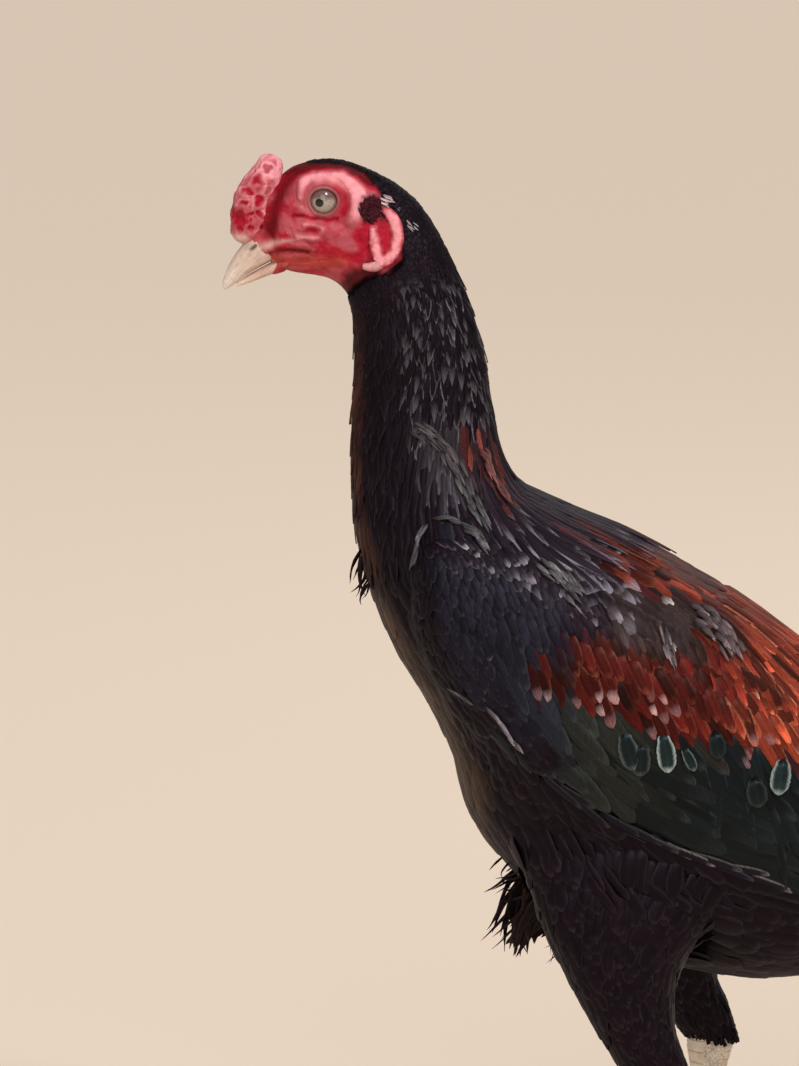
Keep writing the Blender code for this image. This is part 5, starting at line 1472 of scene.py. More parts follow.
# Rows of the folded wing, the lowest first: place along of its first and last root, place across of both,
# how many, length of first and last, heading of first and last, half width, how far it stands over the flesh,
# and the kind.
WING_ROWS = (
    (0.34, 0.60, 0.90, 0.70, 7, 134.0, 128.0, 0.5, 3.0, 8.0, 0.2, "long"),
    (0.26, 0.72, 0.74, 0.44, 17, 112.0, 104.0, 3.0, 8.0, 8.6, 0.9, "long"),
    (0.12, 0.70, 0.93, 0.93, 26, 30.0, 34.0, 1.5, 0.0, 3.6, 1.5, "edge"),
    (0.22, 0.52, 0.87, 0.67, 18, 38.0, 42.0, 10.0, 12.0, 5.6, 1.7, "great"),
    (0.26, 0.84, 0.73, 0.33, 32, 36.0, 46.0, 17.0, 15.0, 5.0, 1.8, "great"),
    (0.26, 0.84, 0.62, 0.24, 20, 46.0, 54.0, 20.0, 16.0, 6.4, 2.0, "great"),
    (0.24, 0.84, 0.52, 0.18, 26, 34.0, 40.0, 27.0, 18.0, 5.2, 2.5, "great"),
    (0.25, 0.87, 0.44, 0.10, 36, 25.0, 34.0, 38.0, 30.0, 4.0, 3.0, "middle"),
    (0.24, 0.87, 0.38, 0.06, 38, 23.0, 32.0, 38.0, 30.0, 3.8, 3.3, "middle"),
    (0.23, 0.87, 0.32, 0.02, 38, 21.0, 30.0, 38.0, 30.0, 3.7, 3.6, "middle"),
    (0.24, 0.87, 0.27, 0.00, 38, 20.0, 30.0, 38.0, 30.0, 3.6, 3.9, "middle"),
)
# Single coverts with a pale ring round a teal middle, in side view: middle x, z, half width, length,
# brightness and lean in degrees.
RINGED = (
    (626, 748, 5.2, 21.0, 0.30, 14.0), (638, 757, 5.0, 17.0, 0.22, -4.0), (660, 750, 4.9, 21.0, 1.0, 8.0),
    (684, 756, 2.9, 13.0, 0.45, 20.0), (775, 774, 5.2, 19.0, 0.85, -4.0), (752, 789, 5.4, 16.0, 0.10, 6.0),
    (712, 742, 4.4, 15.0, 0.07, 16.0), (840, 802, 5.0, 18.0, 0.4, 4.0),
)


def wing_patch(number):
    """Where one wing's feathers lie on the unwrap: the patch's corner and its size."""
    return (0.02, 0.51 + 0.12 * number), (0.9, 0.1)


def wing_feathers(tree):
    """Flight feathers, three sizes of coverts and the small ones of the bow, on both folded wings."""
    for number, (_, side) in enumerate(SIDES):
        pad = Pad(side)
        unwrap = wing_patch(number)
        for row, (u0, u1, v0, v1, count, l0, l1, h0, h1, half, over, kind) in enumerate(WING_ROWS):
            share = np.linspace(0.0, 1.0, count)
            u, v = u0 + (u1 - u0) * share, v0 + (v1 - v0) * share
            length, heading = l0 + (l1 - l0) * share, h0 + (h1 - h0) * share
            steps, lift, shape = (18, 0.012, shape_blade) if kind == "long" else (9, 0.03, shape_round)
            plant(pad, tree, u, v, heading, length, half, 200 + 20 * number + row, steps=steps, columns=3,
                  lift=lift, over=over, loose=0.15, shape=shape, thick=0.5, camber=0.16, roll=5.0 * side,
                  unwrap=unwrap, look=wing_look(kind), ragged=0.025)
        u, v = field(pad, 0.01, 0.88, 4.6, 4.6, 240 + number, (-0.02, 0.97))
        corner = 0.10 * smooth(v, 0.45, 0.8)
        limit = 0.24 - 0.24 * u + 0.75 * (1 - smooth(u, 0.21 + corner, 0.33 + corner))
        u, v = u[v < limit], v[v < limit]
        size = 12.5 + 8.0 * smooth(u, 0.1, 0.5)
        heading = 34.0 * (1 - smooth(v, 0.35, 0.95)) + 6.0
        plant(pad, tree, u, v, heading, size, 0.23 * size, 260 + number, steps=6, columns=3, lift=0.042,
              over=2.6, loose=0.3, thick=0.35, camber=0.22, unwrap=unwrap, look=wing_look("small"))


# Pale edges of single feathers in side view: points of the line, half width, brightness, warmth and how far
# its feathers stray.
PALE_LINES = (
    (((447, 687), (456, 691), (465, 698)), 0.7, 0.09, 0.0, 0.35),
    (((485, 703), (493, 713), (503, 727), (515, 744)), 0.9, 0.16, 0.1, 0.4),
    (((428, 523), (419, 538), (414, 556)), 0.9, 0.10, 0.0, 0.7),
    (((431, 521), (444, 518), (457, 521)), 0.8, 0.09, 0.0, 0.7),
    (((457, 523), (472, 529), (482, 544)), 1.0, 0.10, 0.0, 1.3),
    (((413, 424), (430, 434), (447, 451), (459, 476)), 0.8, 0.070, 0.1, 1.8),
    (((459, 476), (469, 498), (481, 520)), 0.9, 0.080, 0.0, 1.5),
    (((689, 612), (704, 618), (718, 630), (727, 646)), 1.3, 0.10, 0.25, 2.6),
    (((659, 624), (663, 640), (668, 656)), 0.9, 0.13, 0.2, 1.2),
    (((540, 560), (556, 572), (571, 590)), 1.0, 0.10, 0.0, 2.4),
    (((477, 450), (486, 456), (491, 473), (498, 487), (504, 495)), 0.8, 0.085, 1.0, 1.1),
)


def laid(side, relief, x, low):
    """Points at x and the side view's height, laid on the outermost feathers there."""
    reach = np.full(x.shape, 70.0)
    for _ in range(4):
        row = np.clip(((x + NET_START) / NET_CELL).astype(int), 0, relief.shape[0] - 1)
        column = np.clip(((low + LOOKING_DOWN * reach) / NET_CELL).astype(int), 0, relief.shape[1] - 1)
        reach = relief[row, column]
        highest = np.nanmax(np.where(reach > 0, reach, np.nan), axis=-1, keepdims=True)
        reach = np.where(reach > 0, reach, highest)
    for _ in range(6):
        middle = (reach[..., :-2] + reach[..., 2:]) / 2
        reach[..., 1:-1] = np.maximum(reach[..., 1:-1], middle)
    return np.stack([x, side * reach, low + LOOKING_DOWN * reach], axis=-1)


def pale_lines(side, relief, unwrap):
    """Short slender feathers set end to end along each pale line."""
    rng = np.random.default_rng(295)
    for line, half, bright, warm, stray in PALE_LINES:
        flat = np.stack(plan_place(*np.array(line, float).T), axis=1)
        run = run_along(flat)
        starts = np.arange(0.0, run[-1] - 2.0, 2.6 / (1.0 + stray))
        count = len(starts)
        along = starts[:, None] + stations(6) * rng.uniform(6.5, 12.0, (count, 1))
        beyond = np.clip(along - run[-1], 0.0, None)
        way = unit(flat[-1] - flat[-2])
        x = np.interp(along, run, flat[:, 0]) + beyond * way[0] + rng.normal(0.0, stray, (count, 1))
        low = np.interp(along, run, flat[:, 1]) + beyond * way[1] + rng.normal(0.0, stray, (count, 1))
        points = laid(side, relief, x, low)
        points[..., 1] += side * (0.55 - 1.6 * (1 - smooth(stations(6), 0.0, 0.3)))
        out = unit(np.array((0.0, float(side), 0.2)))
        hue = vec(0.95, 0.90, 0.97) * (1 - warm) + vec(1.75, 0.66, 0.60) * warm
        tint = hue * bright * varied(rng, count, 0.4)
        look = {"tint": tint * 0.7, "tip": tint * 1.2, "rim": tint, "rim_share": np.zeros(count)}
        root = patch_places(count, unwrap[0][0] + 0.3, unwrap[1][0] + 0.03)
        COAT.add("plumage_black", points, out, half * rng.uniform(0.7, 1.2, count), look, 296, thick=0.25,
                 shape=shape_lance, root=root)


def ringed_coverts(side, relief, unwrap):
    """The few coverts that show a pale outline, laid on the others with their tips hanging down."""
    rng = np.random.default_rng(290)
    for x, z, half, length, bright, lean in RINGED:
        share = stations(20)
        at = (share - 0.55) * length
        middle_x, middle_z = plan_place(x, z)
        across = middle_x + at * math.sin(math.radians(lean)) + 0.8 * np.sin(2.4 * share + x)
        low = middle_z - at * math.cos(math.radians(lean))
        middle = laid(side, relief, across, low)
        for beside in (-0.5, 0.5):
            edge = laid(side, relief, across + beside * half, low)
            middle[:, 1] = side * np.maximum(middle[:, 1] * side, edge[:, 1] * side)
        middle[:, 1] += side * (0.5 + 0.8 * share - 2.6 * (1 - smooth(share, 0.0, 0.2)))
        out = unit(np.array((0.0, float(side), 0.12)))
        tint = TEAL * 0.05 * bright + GREEN_BLACK * 0.6
        rim = np.array(((0.32, 0.39, 0.37),)) * (0.12 + 0.88 * bright)
        look = {"tint": tint[None], "tip": tint[None] * rng.uniform(1.2, 2.0), "rim": rim,
                "rim_share": np.array((0.85 * math.sqrt(bright),))}
        root = np.array(((unwrap[0][0] + 0.5 + 0.001 * rng.uniform(), unwrap[1][0] + 0.05),))
        COAT.add("plumage_green", middle[None], out[None], vec(half), look, 291, columns=9, thick=0.5,
                 camber=0.14, shape=shape_drop, root=root, ragged=0.035, roll=rng.uniform(-6, 6))


def edge_feathers():
    """Single feathers with pale edges, laid on the finished coat of both sides."""
    for number, (_, side) in enumerate(SIDES):
        relief = COAT.relief(side)
        for lay in (ringed_coverts, pale_lines):
            lay(side, relief, wing_patch(number))


def wing_look(kind):
    """Colours of the wing's feathers: the same markings, with what is special to each row."""
    def look(shown, rng, tips):
        looks, slot = body_look(shown, rng, tips)
        count = len(shown)
        place = picture_place(shown)
        chance = rng.uniform(size=count)
        if kind == "long":
            tint = GREEN_BLACK * 0.6 * varied(rng, count, 0.3)
            looks.update(plain_look(tint, 1.1, every(count, (0.030, 0.038, 0.042)), 0.2))
            slot[:] = "plumage_green"
        if kind == "edge":
            tint, rim = every(count, BLUE_BLACK * 0.8), every(count, (0.20, 0.18, 0.18))
            pale = bell(place[:, 0] - 500, 16) + bell(place[:, 0] - 694, 26) + smooth(place[:, 0], 735, 760)
            looks.update(plain_look(tint, 1.1, rim, np.clip(0.12 + 0.6 * pale, 0, 0.8)))
            slot[:] = "plumage_black"
        if kind == "great":
            back = smooth(place[:, 0], 540, 590)
            dull = vec(0.0125, 0.0125, 0.0095)
            base = blend(dull, GREEN_BLACK * 0.9, smooth(place[:, 0], 630, 700))
            base = blend(BLUE_BLACK, base, back)
            worn = inside(place, ((688, 722), (742, 732), (752, 788), (712, 802)), 12) * (chance > 0.35)
            base = blend(base, vec(0.026, 0.020, 0.015), 0.8 * worn)
            base = base * (1 - 0.55 * smooth(place[:, 0], 600, 680))[:, None]
            tint, rim = base * varied(rng, count, 0.35), every(count, (0.050, 0.066, 0.070))
            looks.update(plain_look(tint, 1.15, rim, 0.28 * (chance > 0.5)), start=np.full(count, 0.5))
            slot[:] = "plumage_green"
        if kind == "middle":
            # Painted highlights: pale lilac-pink tips on some of the lower middle coverts.
            low = inside(place, ((520, 676), (800, 700), (860, 800), (520, 760)), 16)
            pale = low * (chance > 0.76)
            looks["tip"] = blend(looks["tip"], vec(0.20, 0.11, 0.125), 0.65 * pale)
            looks["start"] = np.where(pale > 0.3, 0.72, looks["start"])
        return looks, slot
    return look


# The tail: how many main feathers a side, slope of the highest and the lowest, and their lengths.
TAIL_COUNT, TAIL_SLOPES, TAIL_LENGTHS = 7, (-18.0, -52.0), (178.0, 148.0)
# The sickles from the longest: slope at the root and at the tip, length and half width.
SICKLES = ((6.0, -62.0, 232.0, 10.5), (-6.0, -68.0, 176.0, 10.0), (-22.0, -74.0, 136.0, 9.5))


def tail_path(root, slopes, length, splay, side, steps):
    """A tail feather's path in side view, turning from one slope to the other."""
    share = stations(steps)
    slope = np.radians(slopes[0] + (slopes[1] - slopes[0]) * (share[:-1] + share[1:]) / 2)
    stride = np.stack([np.cos(slope), np.full(steps, side * splay), np.sin(slope)], axis=1)
    path = np.cumsum(stride * (length * np.diff(share))[:, None], axis=0)
    return np.concatenate([np.zeros((1, 3)), path]) + np.array(root)


def tail_sets(rng, side):
    """Paths of one side's three kinds of tail feathers, each with its half width and tilt in degrees."""
    sets = {"main": [], "sickle": [], "covert": []}
    x, z = TAIL_ROOT
    for k in range(TAIL_COUNT):
        share = k / (TAIL_COUNT - 1)
        slope = TAIL_SLOPES[0] + (TAIL_SLOPES[1] - TAIL_SLOPES[0]) * share + rng.uniform(-2.4, 2.4)
        length = (TAIL_LENGTHS[0] + (TAIL_LENGTHS[1] - TAIL_LENGTHS[0]) * share) * rng.uniform(0.92, 1.01)
        root = (x - 8, side * (2.6 + 1.15 * k), z + 12 - 24 * share)
        splay = 0.062 + 0.004 * k + rng.uniform(-0.01, 0.01)
        path = tail_path(root, (slope, slope - 8), length + 8, splay, side, 22)
        sets["main"].append((path, 15.0 - 2.0 * (k == 0), 50.0 - 33.0 * min(1.0, 1.6 * share)))
    for k, (first, last, length, half) in enumerate(SICKLES):
        root = (x - 4, side * (9.0 + 2.6 * k), z + 17 - 7 * k)
        path = tail_path(root, (first, last), length + 6, 0.05 + 0.02 * k, side, 26)
        sets["sickle"].append((path, half, 38.0 - 8.0 * k))
    for k in range(30):
        share, layer = k / 29, k % 3
        first = 4.0 - 52.0 * share + rng.uniform(-5, 5)
        over = 4.0 + 7.5 * smooth(share, 0.0, 0.4)
        root = (x - 14 + 3 * layer, side * (over + 2.0 * layer), z + 19 - 35 * share)
        length = (118 - 22 * layer - 30 * share) * rng.uniform(0.86, 1.1)
        splay = 0.04 + 0.03 * layer + rng.uniform(-0.02, 0.02)
        path = tail_path(root, (first, first - 48), length, splay, side, 14)
        sets["covert"].append((path, 6.8, 58.0 - 42.0 * float(smooth(share, 0.0, 0.5))))
    return sets


def tail_feathers():
    """Main feathers in a fan, sickles outside them, and coverts over their roots."""
    rng = np.random.default_rng(61)
    for number, (_, side) in enumerate(SIDES):
        for kind, paths in tail_sets(rng, side).items():
            points, half, tilt = (np.array(values) for values in zip(*paths))
            tilt, count = np.radians(tilt), len(points)
            out = np.stack([np.zeros(count), side * np.cos(tilt), np.sin(tilt)], axis=1)
            tint = GREEN_BLACK * varied(rng, count, 0.18)
            look = plain_look(tint, 1.1, every(count, (0.10, 0.15, 0.15)), 0.18)
            root = patch_places(count, 0.94, 0.52 + 0.2 * number + 0.15 * np.arange(count) / count)
            shape, camber = (shape_blade, 0.10) if kind == "main" else (shape_lance, 0.2)
            COAT.add("plumage_green", points, out[:, None], half, look, 300 + number, columns=3, shape=shape,
                     thick=0.55, camber=camber, roll=3.0 * side, root=root, ragged=0.02)


# Head pieces

# The comb in side view from its foot to its top: front edge, rear edge and half width of each ring.
COMB_RINGS = (
    (-166.5, 561.6, -160.0, 560.0, 3.0), (-170.0, 565.5, -155.5, 562.5, 7.4),
    (-170.2, 571.5, -151.5, 569.5, 9.8), (-169.6, 579.5, -150.8, 577.0, 10.6),
    (-168.2, 587.0, -148.8, 584.0, 10.6), (-165.2, 593.0, -145.4, 590.5, 10.0),
    (-161.2, 598.4, -143.8, 596.2, 8.8), (-157.0, 602.6, -143.9, 600.6, 7.0),
    (-154.2, 605.2, -145.0, 603.6, 5.0), (-151.6, 606.6, -147.0, 605.8, 2.8),
    (-149.8, 606.9, -148.6, 606.7, 0.8),
)
# Pits of the comb in side view: middle x, z and half sizes.
COMB_PITS = (
    (-152.1, 598.9, 2.4, 1.7), (-156.4, 593.2, 2.0, 3.6), (-162.0, 588.6, 2.6, 1.7),
    (-156.3, 584.3, 1.8, 2.4), (-163.4, 582.0, 2.2, 1.9), (-165.6, 574.6, 3.0, 3.4),
    (-155.2, 576.2, 1.8, 1.8), (-160.2, 577.4, 1.5, 1.6), (-160.0, 569.8, 1.6, 2.4),
    (-166.4, 568.0, 1.8, 1.4), (-154.6, 568.4, 1.4, 1.8), (-160.0, 600.6, 1.2, 1.0),
)


def make_comb():
    """The pea comb: a thick leaning bean with a net of pale ridges round crimson pits, its ridges, top and
    edges lighter as painted highlight and its pits darker as painted shade.
    """
    form = Form(COMB_RINGS, 2.2)
    u, v = crossed(np.linspace(0.0, form.last, 190), circle(200))
    points, normals = form.at(u, v), form.normal(u, v)
    wander = np.stack([noise(points, 3.4, 70), noise(points, 3.4, 71)], axis=-1) * 2.1
    moved = points[..., [0, 2]] + wander
    moved = moved + np.where(points[..., 1:2] > 0, vec(0.9, -1.4), 0.0)
    away = np.full(u.shape, 9.0)
    for x, z, rx, rz in COMB_PITS:
        away = np.minimum(away, np.hypot((moved[..., 0] - x) / rx, (moved[..., 1] - z) / rz))
    broad = smooth(np.abs(normals[..., 1]), 0.25, 0.6)
    away = away * broad + (1 - broad) * (0.7 + 2.4 * (1 - np.abs(noise(points, 4.4, 73))))
    pit = np.exp(-away**3) * (0.7 + 0.4 * noise(points, 5.0, 77))
    ridge = bell(away - 1.55, 0.55)
    net = 1 - np.minimum(np.abs(noise(points, 4.6, 74)) / 0.36, 1.0)
    fine = noise(points, 1.7, 75) + 0.6 * noise(points, 0.9, 76)
    lumps = noise(points, 6.4, 72)
    rise = 1.0 * lumps - 1.0 * pit + 0.34 * ridge + 0.28 * net + 0.16 * fine
    points = points + normals * rise[..., None]
    rear = (1 - np.cos(2 * np.pi * v)) / 2
    # Painted light: pits darker as shade, ridges and lumps lighter as highlight, and the top and both edges
    # lighter where the light falls.
    tone = 0.50 - 1.7 * pit + 0.75 * ridge + 0.40 * net + 0.75 * lumps + 0.25 * fine
    tone = tone + 1.0 * smooth(points[..., 2], 591, 601)
    tone = tone + 1.5 * smooth(rear, 0.70, 0.90) * smooth(points[..., 2], 572, 582)
    tone = tone + 0.7 * smooth(-rear, -0.20, -0.05) * smooth(points[..., 2], 580, 588)
    crimson = np.exp(-((points[..., 0] + 166.0) / 5.0) ** 2 - ((points[..., 2] - 574.0) / 6.5) ** 2)
    colour = flesh_colour(np.maximum(tone - 1.3 * crimson, -0.35))
    low = smooth(-points[..., 2], -569, -563) * smooth(-points[..., 0], 158, 164)
    tint = opaque(blend(colour, vec(0.66, 0.44, 0.40), 0.8 * low))
    tint = np.concatenate([tint.reshape(-1, 4), tint[0, :1], tint[-1, :1]])
    comb = mesh_object("comb_skin", *tube_mesh(points), {"tint": tint})
    outward(comb)
    return dress(comb, fleshy_paint("comb"), "skin_red", "comb")


# The ear lobe in side view: its rim, the fold in front and the hanging tip, and how far out its foot lies.
LOBE_FOOT = 19.8
LOBE_RIM = ((-92.3, 579.6), (-89.3, 579.0), (-85.9, 573.6), (-84.6, 566.6), (-86.0, 559.6), (-90.4, 554.2),
            (-95.6, 553.2))
LOBE_FRONT = ((-97.4, 571.0), (-96.4, 566.0), (-95.6, 560.5), (-94.0, 554.8))
LOBE_TIP = ((-89.0, 554.0), (-95.5, 551.0), (-102.6, 551.0))


def make_lobes():
    """The ear lobes: a thick pink rim folded round a crimson hollow, painted paler where they stand out as
    highlight and deeper in the hollow as shade.
    """
    for name, side in SIDES:
        solids = [
            ball((-92.0, LOBE_FOOT * side, 564.5), (8.0, 2.8, 13.0), -8.0, 40, 24),
            rope([(x, 21.7 * side, z) for x, z in LOBE_RIM], (1.5, 2.6, 3.3, 3.4, 3.5, 3.2, 2.3), 20, 90),
            rope([(x, 21.5 * side, z) for x, z in LOBE_FRONT], (1.3, 3.1, 3.3, 2.8), 18, 60),
            rope([(x, 21.0 * side, z) for x, z in LOBE_TIP], (2.4, 2.7, 1.7), 16, 40),
        ]
        lobe = joined(f"ear_lobe_{name}", solids)
        outward(lobe)
        remeshed(lobe, 0.42, 8)
        points, normals = read_points(lobe)
        width = np.abs(points[:, 1])
        points[:, 1] = side * np.minimum(width, LOBE_FOOT + 0.72 * np.maximum(width - LOBE_FOOT, 0.0))
        fine = noise(points, 1.8, 75) + 0.6 * noise(points, 1.0, 76)
        points = points + normals * (0.16 * fine)[:, None]
        move_points(lobe, points)
        lines = (LOBE_RIM, LOBE_FRONT, LOBE_TIP[1:])
        rim, front, tip = (to_line(points[:, [0, 2]], line)[0] for line in lines)
        # Painted light: paler the further out the skin stands and along the rim and the fold, as highlight;
        # the crimson hollow is painted shade.
        tone = (np.abs(points[:, 1]) - 21.6) * 0.8 + 0.8 * noise(points, 4.0, 77) + 0.35 * fine - 0.45
        tone += 1.8 * bell(rim, 2.8) + 1.7 * bell(front, 2.7)
        hollow = np.hypot((points[:, 0] + 90.6) / 2.2, (points[:, 2] - 565.0) / 7.4)
        colour = blend(flesh_colour(tone), CRIMSON * 1.1, 0.95 * np.exp(-hollow**4))
        colour = blend(colour, vec(0.62, 0.36, 0.36), 0.8 * bell(tip, 2.6))
        set_attributes(lobe.data, {"tint": opaque(colour)})
        dress(lobe, fleshy_paint(f"lobe_{name}"), "skin_red", f"earlobe_{name}")


NOSTRIL, NOSTRIL_TURN = (-159.5, 559.0), math.radians(35)


def make_bills():
    """Upper and lower bill, with nostrils and growth lines."""
    for name, rings in (("upper", UPPER_BILL), ("lower", LOWER_BILL)):
        form = Form(rings, 2.2)
        u, v = crossed(np.linspace(0.66, form.last, 110), circle(96))
        points = form.at(u, v)
        dx, dz = points[..., 0] - NOSTRIL[0], points[..., 2] - NOSTRIL[1]
        c, s = math.cos(NOSTRIL_TURN), math.sin(NOSTRIL_TURN)
        slit = np.hypot((dx * c + dz * s) / 2.6, (dz * c - dx * s) / 1.0)
        rise = 0.12 * noise(np.stack([u * 1.2, v * 46.0, np.zeros_like(u)], axis=-1), 1.0, 81)
        if name == "upper":
            rise = rise - 1.5 * np.exp(-slit**4) + 0.45 * bell(slit - 1.5, 0.35) * (dz > -1)
        rise = rise - 0.9 * smooth(-u, -0.84, -0.66)
        points = points + form.normal(u, v) * rise[..., None]
        tip = smooth(u, 1.5, form.last)[..., None]
        colour = vec(0.64, 0.47, 0.39) * (1 - tip) + vec(0.82, 0.73, 0.65) * tip
        if name == "lower":
            colour = colour * vec(0.98, 0.86, 0.82)
        # Painted shade inside the nostril.
        if name == "upper":
            colour = colour * (1 - 0.8 * np.exp(-slit**4))[..., None]
        tint = np.concatenate([colour.reshape(-1, 3), colour[0, :1], colour[-1, :1]])
        lines = np.stack([u * 0.35, np.abs(v - 0.5) * 9.0, np.zeros_like(u)], axis=-1).reshape(-1, 3)
        bill = mesh_object(f"bill_{name}_horn", *tube_mesh(points), {
            "tint": opaque(tint), "lines": np.concatenate([lines, lines[:1], lines[-1:]])})
        outward(bill)
        dress(bill, horn_paint(f"bill_{name}", 3.0, 0.36), "bill_horn", f"bill_{name}")


def make_eyes():
    """Both eyeballs, turned a little towards the bill."""
    for name, side in SIDES:
        gaze = unit(vec(-0.26, side * 0.96, -0.09))
        first = unit(np.cross(gaze, UP))
        second = np.cross(first, gaze)
        polar = np.radians(np.concatenate([np.linspace(0.6, 60.0, 90), np.linspace(64.0, 179.0, 24)]))
        p, a = crossed(polar, circle(96, 0.0, 2 * np.pi))
        round_it = first * np.cos(a)[..., None] + second * np.sin(a)[..., None]
        middle = vec(EYE[0], EYE[1] * side, EYE[2])
        rings = middle + (gaze * np.cos(p)[..., None] + round_it * np.sin(p)[..., None]) * EYE_RADIUS
        place = np.stack([np.degrees(p), np.cos(a), np.sin(a)], axis=-1).reshape(-1, 3)
        place = np.concatenate([place, np.array(((0.0, 0.0, 0.0), (180.0, 0.0, 0.0)))])
        points, quads, triangles = tube_mesh(rings)
        way = unit(points - middle)
        from_axis = np.degrees(np.arccos(np.clip(way[:, 1] * side, -1.0, 1.0)))
        # The height of each point drives the painted lid shade on the iris.
        eye = mesh_object(f"eyeball_{name}", points, quads, triangles,
                          {"place": place, "from_axis": from_axis, "up": way[:, 2]})
        outward(eye)
        dress(eye, eye_paint(), "eye_glass", f"eye_{name}")


# Legs

# The shank from the hock to the ankle: share of its length, half depth and half width.
SHANK_PROFILE = ((0.0, 11.0, 9.5), (0.08, 12.5, 10.5), (0.2, 9.0, 8.0), (0.5, 7.8, 7.0), (0.82, 8.2, 7.6),
                 (0.95, 10.5, 10.0), (1.0, 8.5, 9.0))
LEG_PINK, LEG_PALE = vec(0.62, 0.46, 0.38), vec(0.78, 0.70, 0.58)
HORN_ROOT, HORN_TIP = vec(0.34, 0.25, 0.18), vec(0.66, 0.56, 0.44)


def plates(run, angle, period, spread, columns):
    """Height of overlapping plates along a leg or toe, and 1 on a plate, 0 in a seam and 2 beside them."""
    column = np.floor((angle / spread + 1) / 2 * columns)
    inner = ((angle / spread + 1) / 2 * columns) % 1.0
    step = (run / period + 0.5 * (column % 2)) % 1.0
    on = smooth(-np.abs(angle), -spread, -spread * 0.9)
    height = on * (0.55 * step**1.4 - 0.25 * bell(np.minimum(inner, 1 - inner), 0.08))
    apart = smooth(np.minimum(inner, 1 - inner), 0.01, 0.08) if columns > 1 else 1.0
    seam = np.minimum(smooth(step, 0.0, 0.20) * smooth(-step, -1.0, -0.92), apart)
    return height, np.where(on > 0.3, seam, 2.0)


def leg_places(name, side):
    """Where a leg's foot stands, and its hock."""
    return vec(FOOT_X[name], LEG_Y * side, 0.0), vec(HOCK[name][0], LEG_Y * side, HOCK[name][1])


def toe_ways(heading, side):
    """A toe's directions, forward and across."""
    turn = math.radians(heading)
    forward = np.array((-math.cos(turn), side * math.sin(turn), 0.0))
    return forward, vec(-forward[1], forward[0], 0.0)


def shank_rings(foot, hock):
    """Rings of a shank with its plates, and where their seams are."""
    ankle = foot + UP * FOOT_HEIGHT
    top = hock + unit(hock - ankle) * HOCK_SUNK
    axis = unit(ankle - top)
    front = unit(np.cross(ACROSS, axis))
    places, depths, widths = np.array(SHANK_PROFILE).T
    share, angle = crossed(np.linspace(0.0, 1.0, 240), circle(60, -np.pi, np.pi))
    depth, width = np.interp(share, places, depths), np.interp(share, places, widths)
    run = share * np.linalg.norm(ankle - top)
    rise, plate = plates(run, angle, 6.2, 1.35, 2)
    rear, rear_plate = plates(run, (angle % (2 * np.pi)) - np.pi, 4.6, 0.8, 2)
    rise, plate = rise + 0.6 * rear - 0.35, np.minimum(plate, rear_plate)
    way = front * np.cos(angle)[..., None] + ACROSS * np.sin(angle)[..., None]
    reach = front * (np.cos(angle) * depth)[..., None] + ACROSS * (np.sin(angle) * width)[..., None]
    return top + axis * run[..., None] + reach + way * rise[..., None], plate


def toe_rings(foot, side, heading, length, half):
    """Rings of a toe with its plates, flat underneath, and where their seams are."""
    forward, across = toe_ways(heading, side)
    share, angle = crossed(np.linspace(0.0, 1.0, 130), circle(44, -np.pi, np.pi))
    knuckle = 1.0 + 0.10 * np.cos(share * 6 * np.pi)
    end = np.sqrt(np.clip(1 - np.clip((share - 0.86) / 0.16, 0, 1) ** 2, 0.05, 1))
    wide = half * (1.0 - 0.28 * share) * knuckle * end
    high = (12.0 - 3.6 * share) * (0.94 + 0.06 * knuckle) * (0.35 + 0.65 * end)
    run = (length - 6.0) * share
    rise, plate = plates(run, angle, 3.9, 1.5, 1)
    flat = np.sign(np.sin(angle)) * np.abs(np.sin(angle)) ** 0.8
    lift = high * (0.5 + 0.5 * np.cos(angle)) + np.maximum(np.cos(angle), 0.0) * (rise - 0.3)
    lift = np.maximum(lift - 0.10 * high, 0.05)
    wide = wide * flat + np.sin(angle) * (rise - 0.3)
    return foot + forward * (6.0 + run)[..., None] + across * wide[..., None] + UP * lift[..., None], plate


def make_leg(name, side):
    """One leg below the feathers: shank, foot and toes in their scales."""
    foot, hock = leg_places(name, side)
    pad = ball(foot + UP * 7.1, (14.6, 12.6, 12.6), 0.0, 60, 36)
    pad[0][:, 2] = np.maximum(pad[0][:, 2], 0.05)
    solids, seams = [], []
    for rings, plate in (shank_rings(foot, hock), *(
            toe_rings(foot, side, heading, length, half) for heading, length, _, half in TOES.values())):
        solids.append(tube_mesh(rings))
        seams.append(np.concatenate([plate.ravel(), (1.0, 1.0)]))
    solids.insert(1, pad)
    seams.insert(1, np.full(len(pad[0]), 2.0))
    leg = joined(f"leg_scales_{name}", solids)
    points, _ = read_points(leg)
    colour = blend(LEG_PINK, LEG_PALE, smooth(noise(points, 11.0, 91), -0.6, 0.6))
    # Darker over the lowest 3 mm: painted shade where the feet meet the floor.
    colour = colour * (1 - 0.25 * smooth(-points[:, 2], -3.0, 0.0))[:, None]
    set_attributes(leg.data, {"tint": opaque(colour), "plate": np.concatenate(seams)})
    outward(leg)
    dress(leg, scale_paint(), "leg_scales", f"shank_{name}", *[f"toe_{toe}_{name}" for toe in TOES])


def horn_object(name, solids, slot, nodes):
    """Curved horny cones, paler towards their tips."""
    tint, lines = [], []
    for points, _, _ in solids:
        count = len(points) - 2
        share = np.concatenate([np.repeat(np.linspace(0, 1, count // 24), 24), (0.0, 1.0)])
        turn = np.concatenate([np.tile(np.abs(np.linspace(-1, 1, 24)), count // 24), (0.0, 0.0)])
        tint.append(blend(HORN_ROOT, HORN_TIP, share))
        lines.append(np.stack([share, turn * 3.0, np.zeros(len(points))], axis=1))
    tint = np.concatenate(tint)
    obj = joined(name, solids, {"tint": opaque(tint), "lines": np.concatenate(lines)})
    outward(obj)
    dress(obj, horn_paint(name, 4.0, 0.38), slot, *nodes)


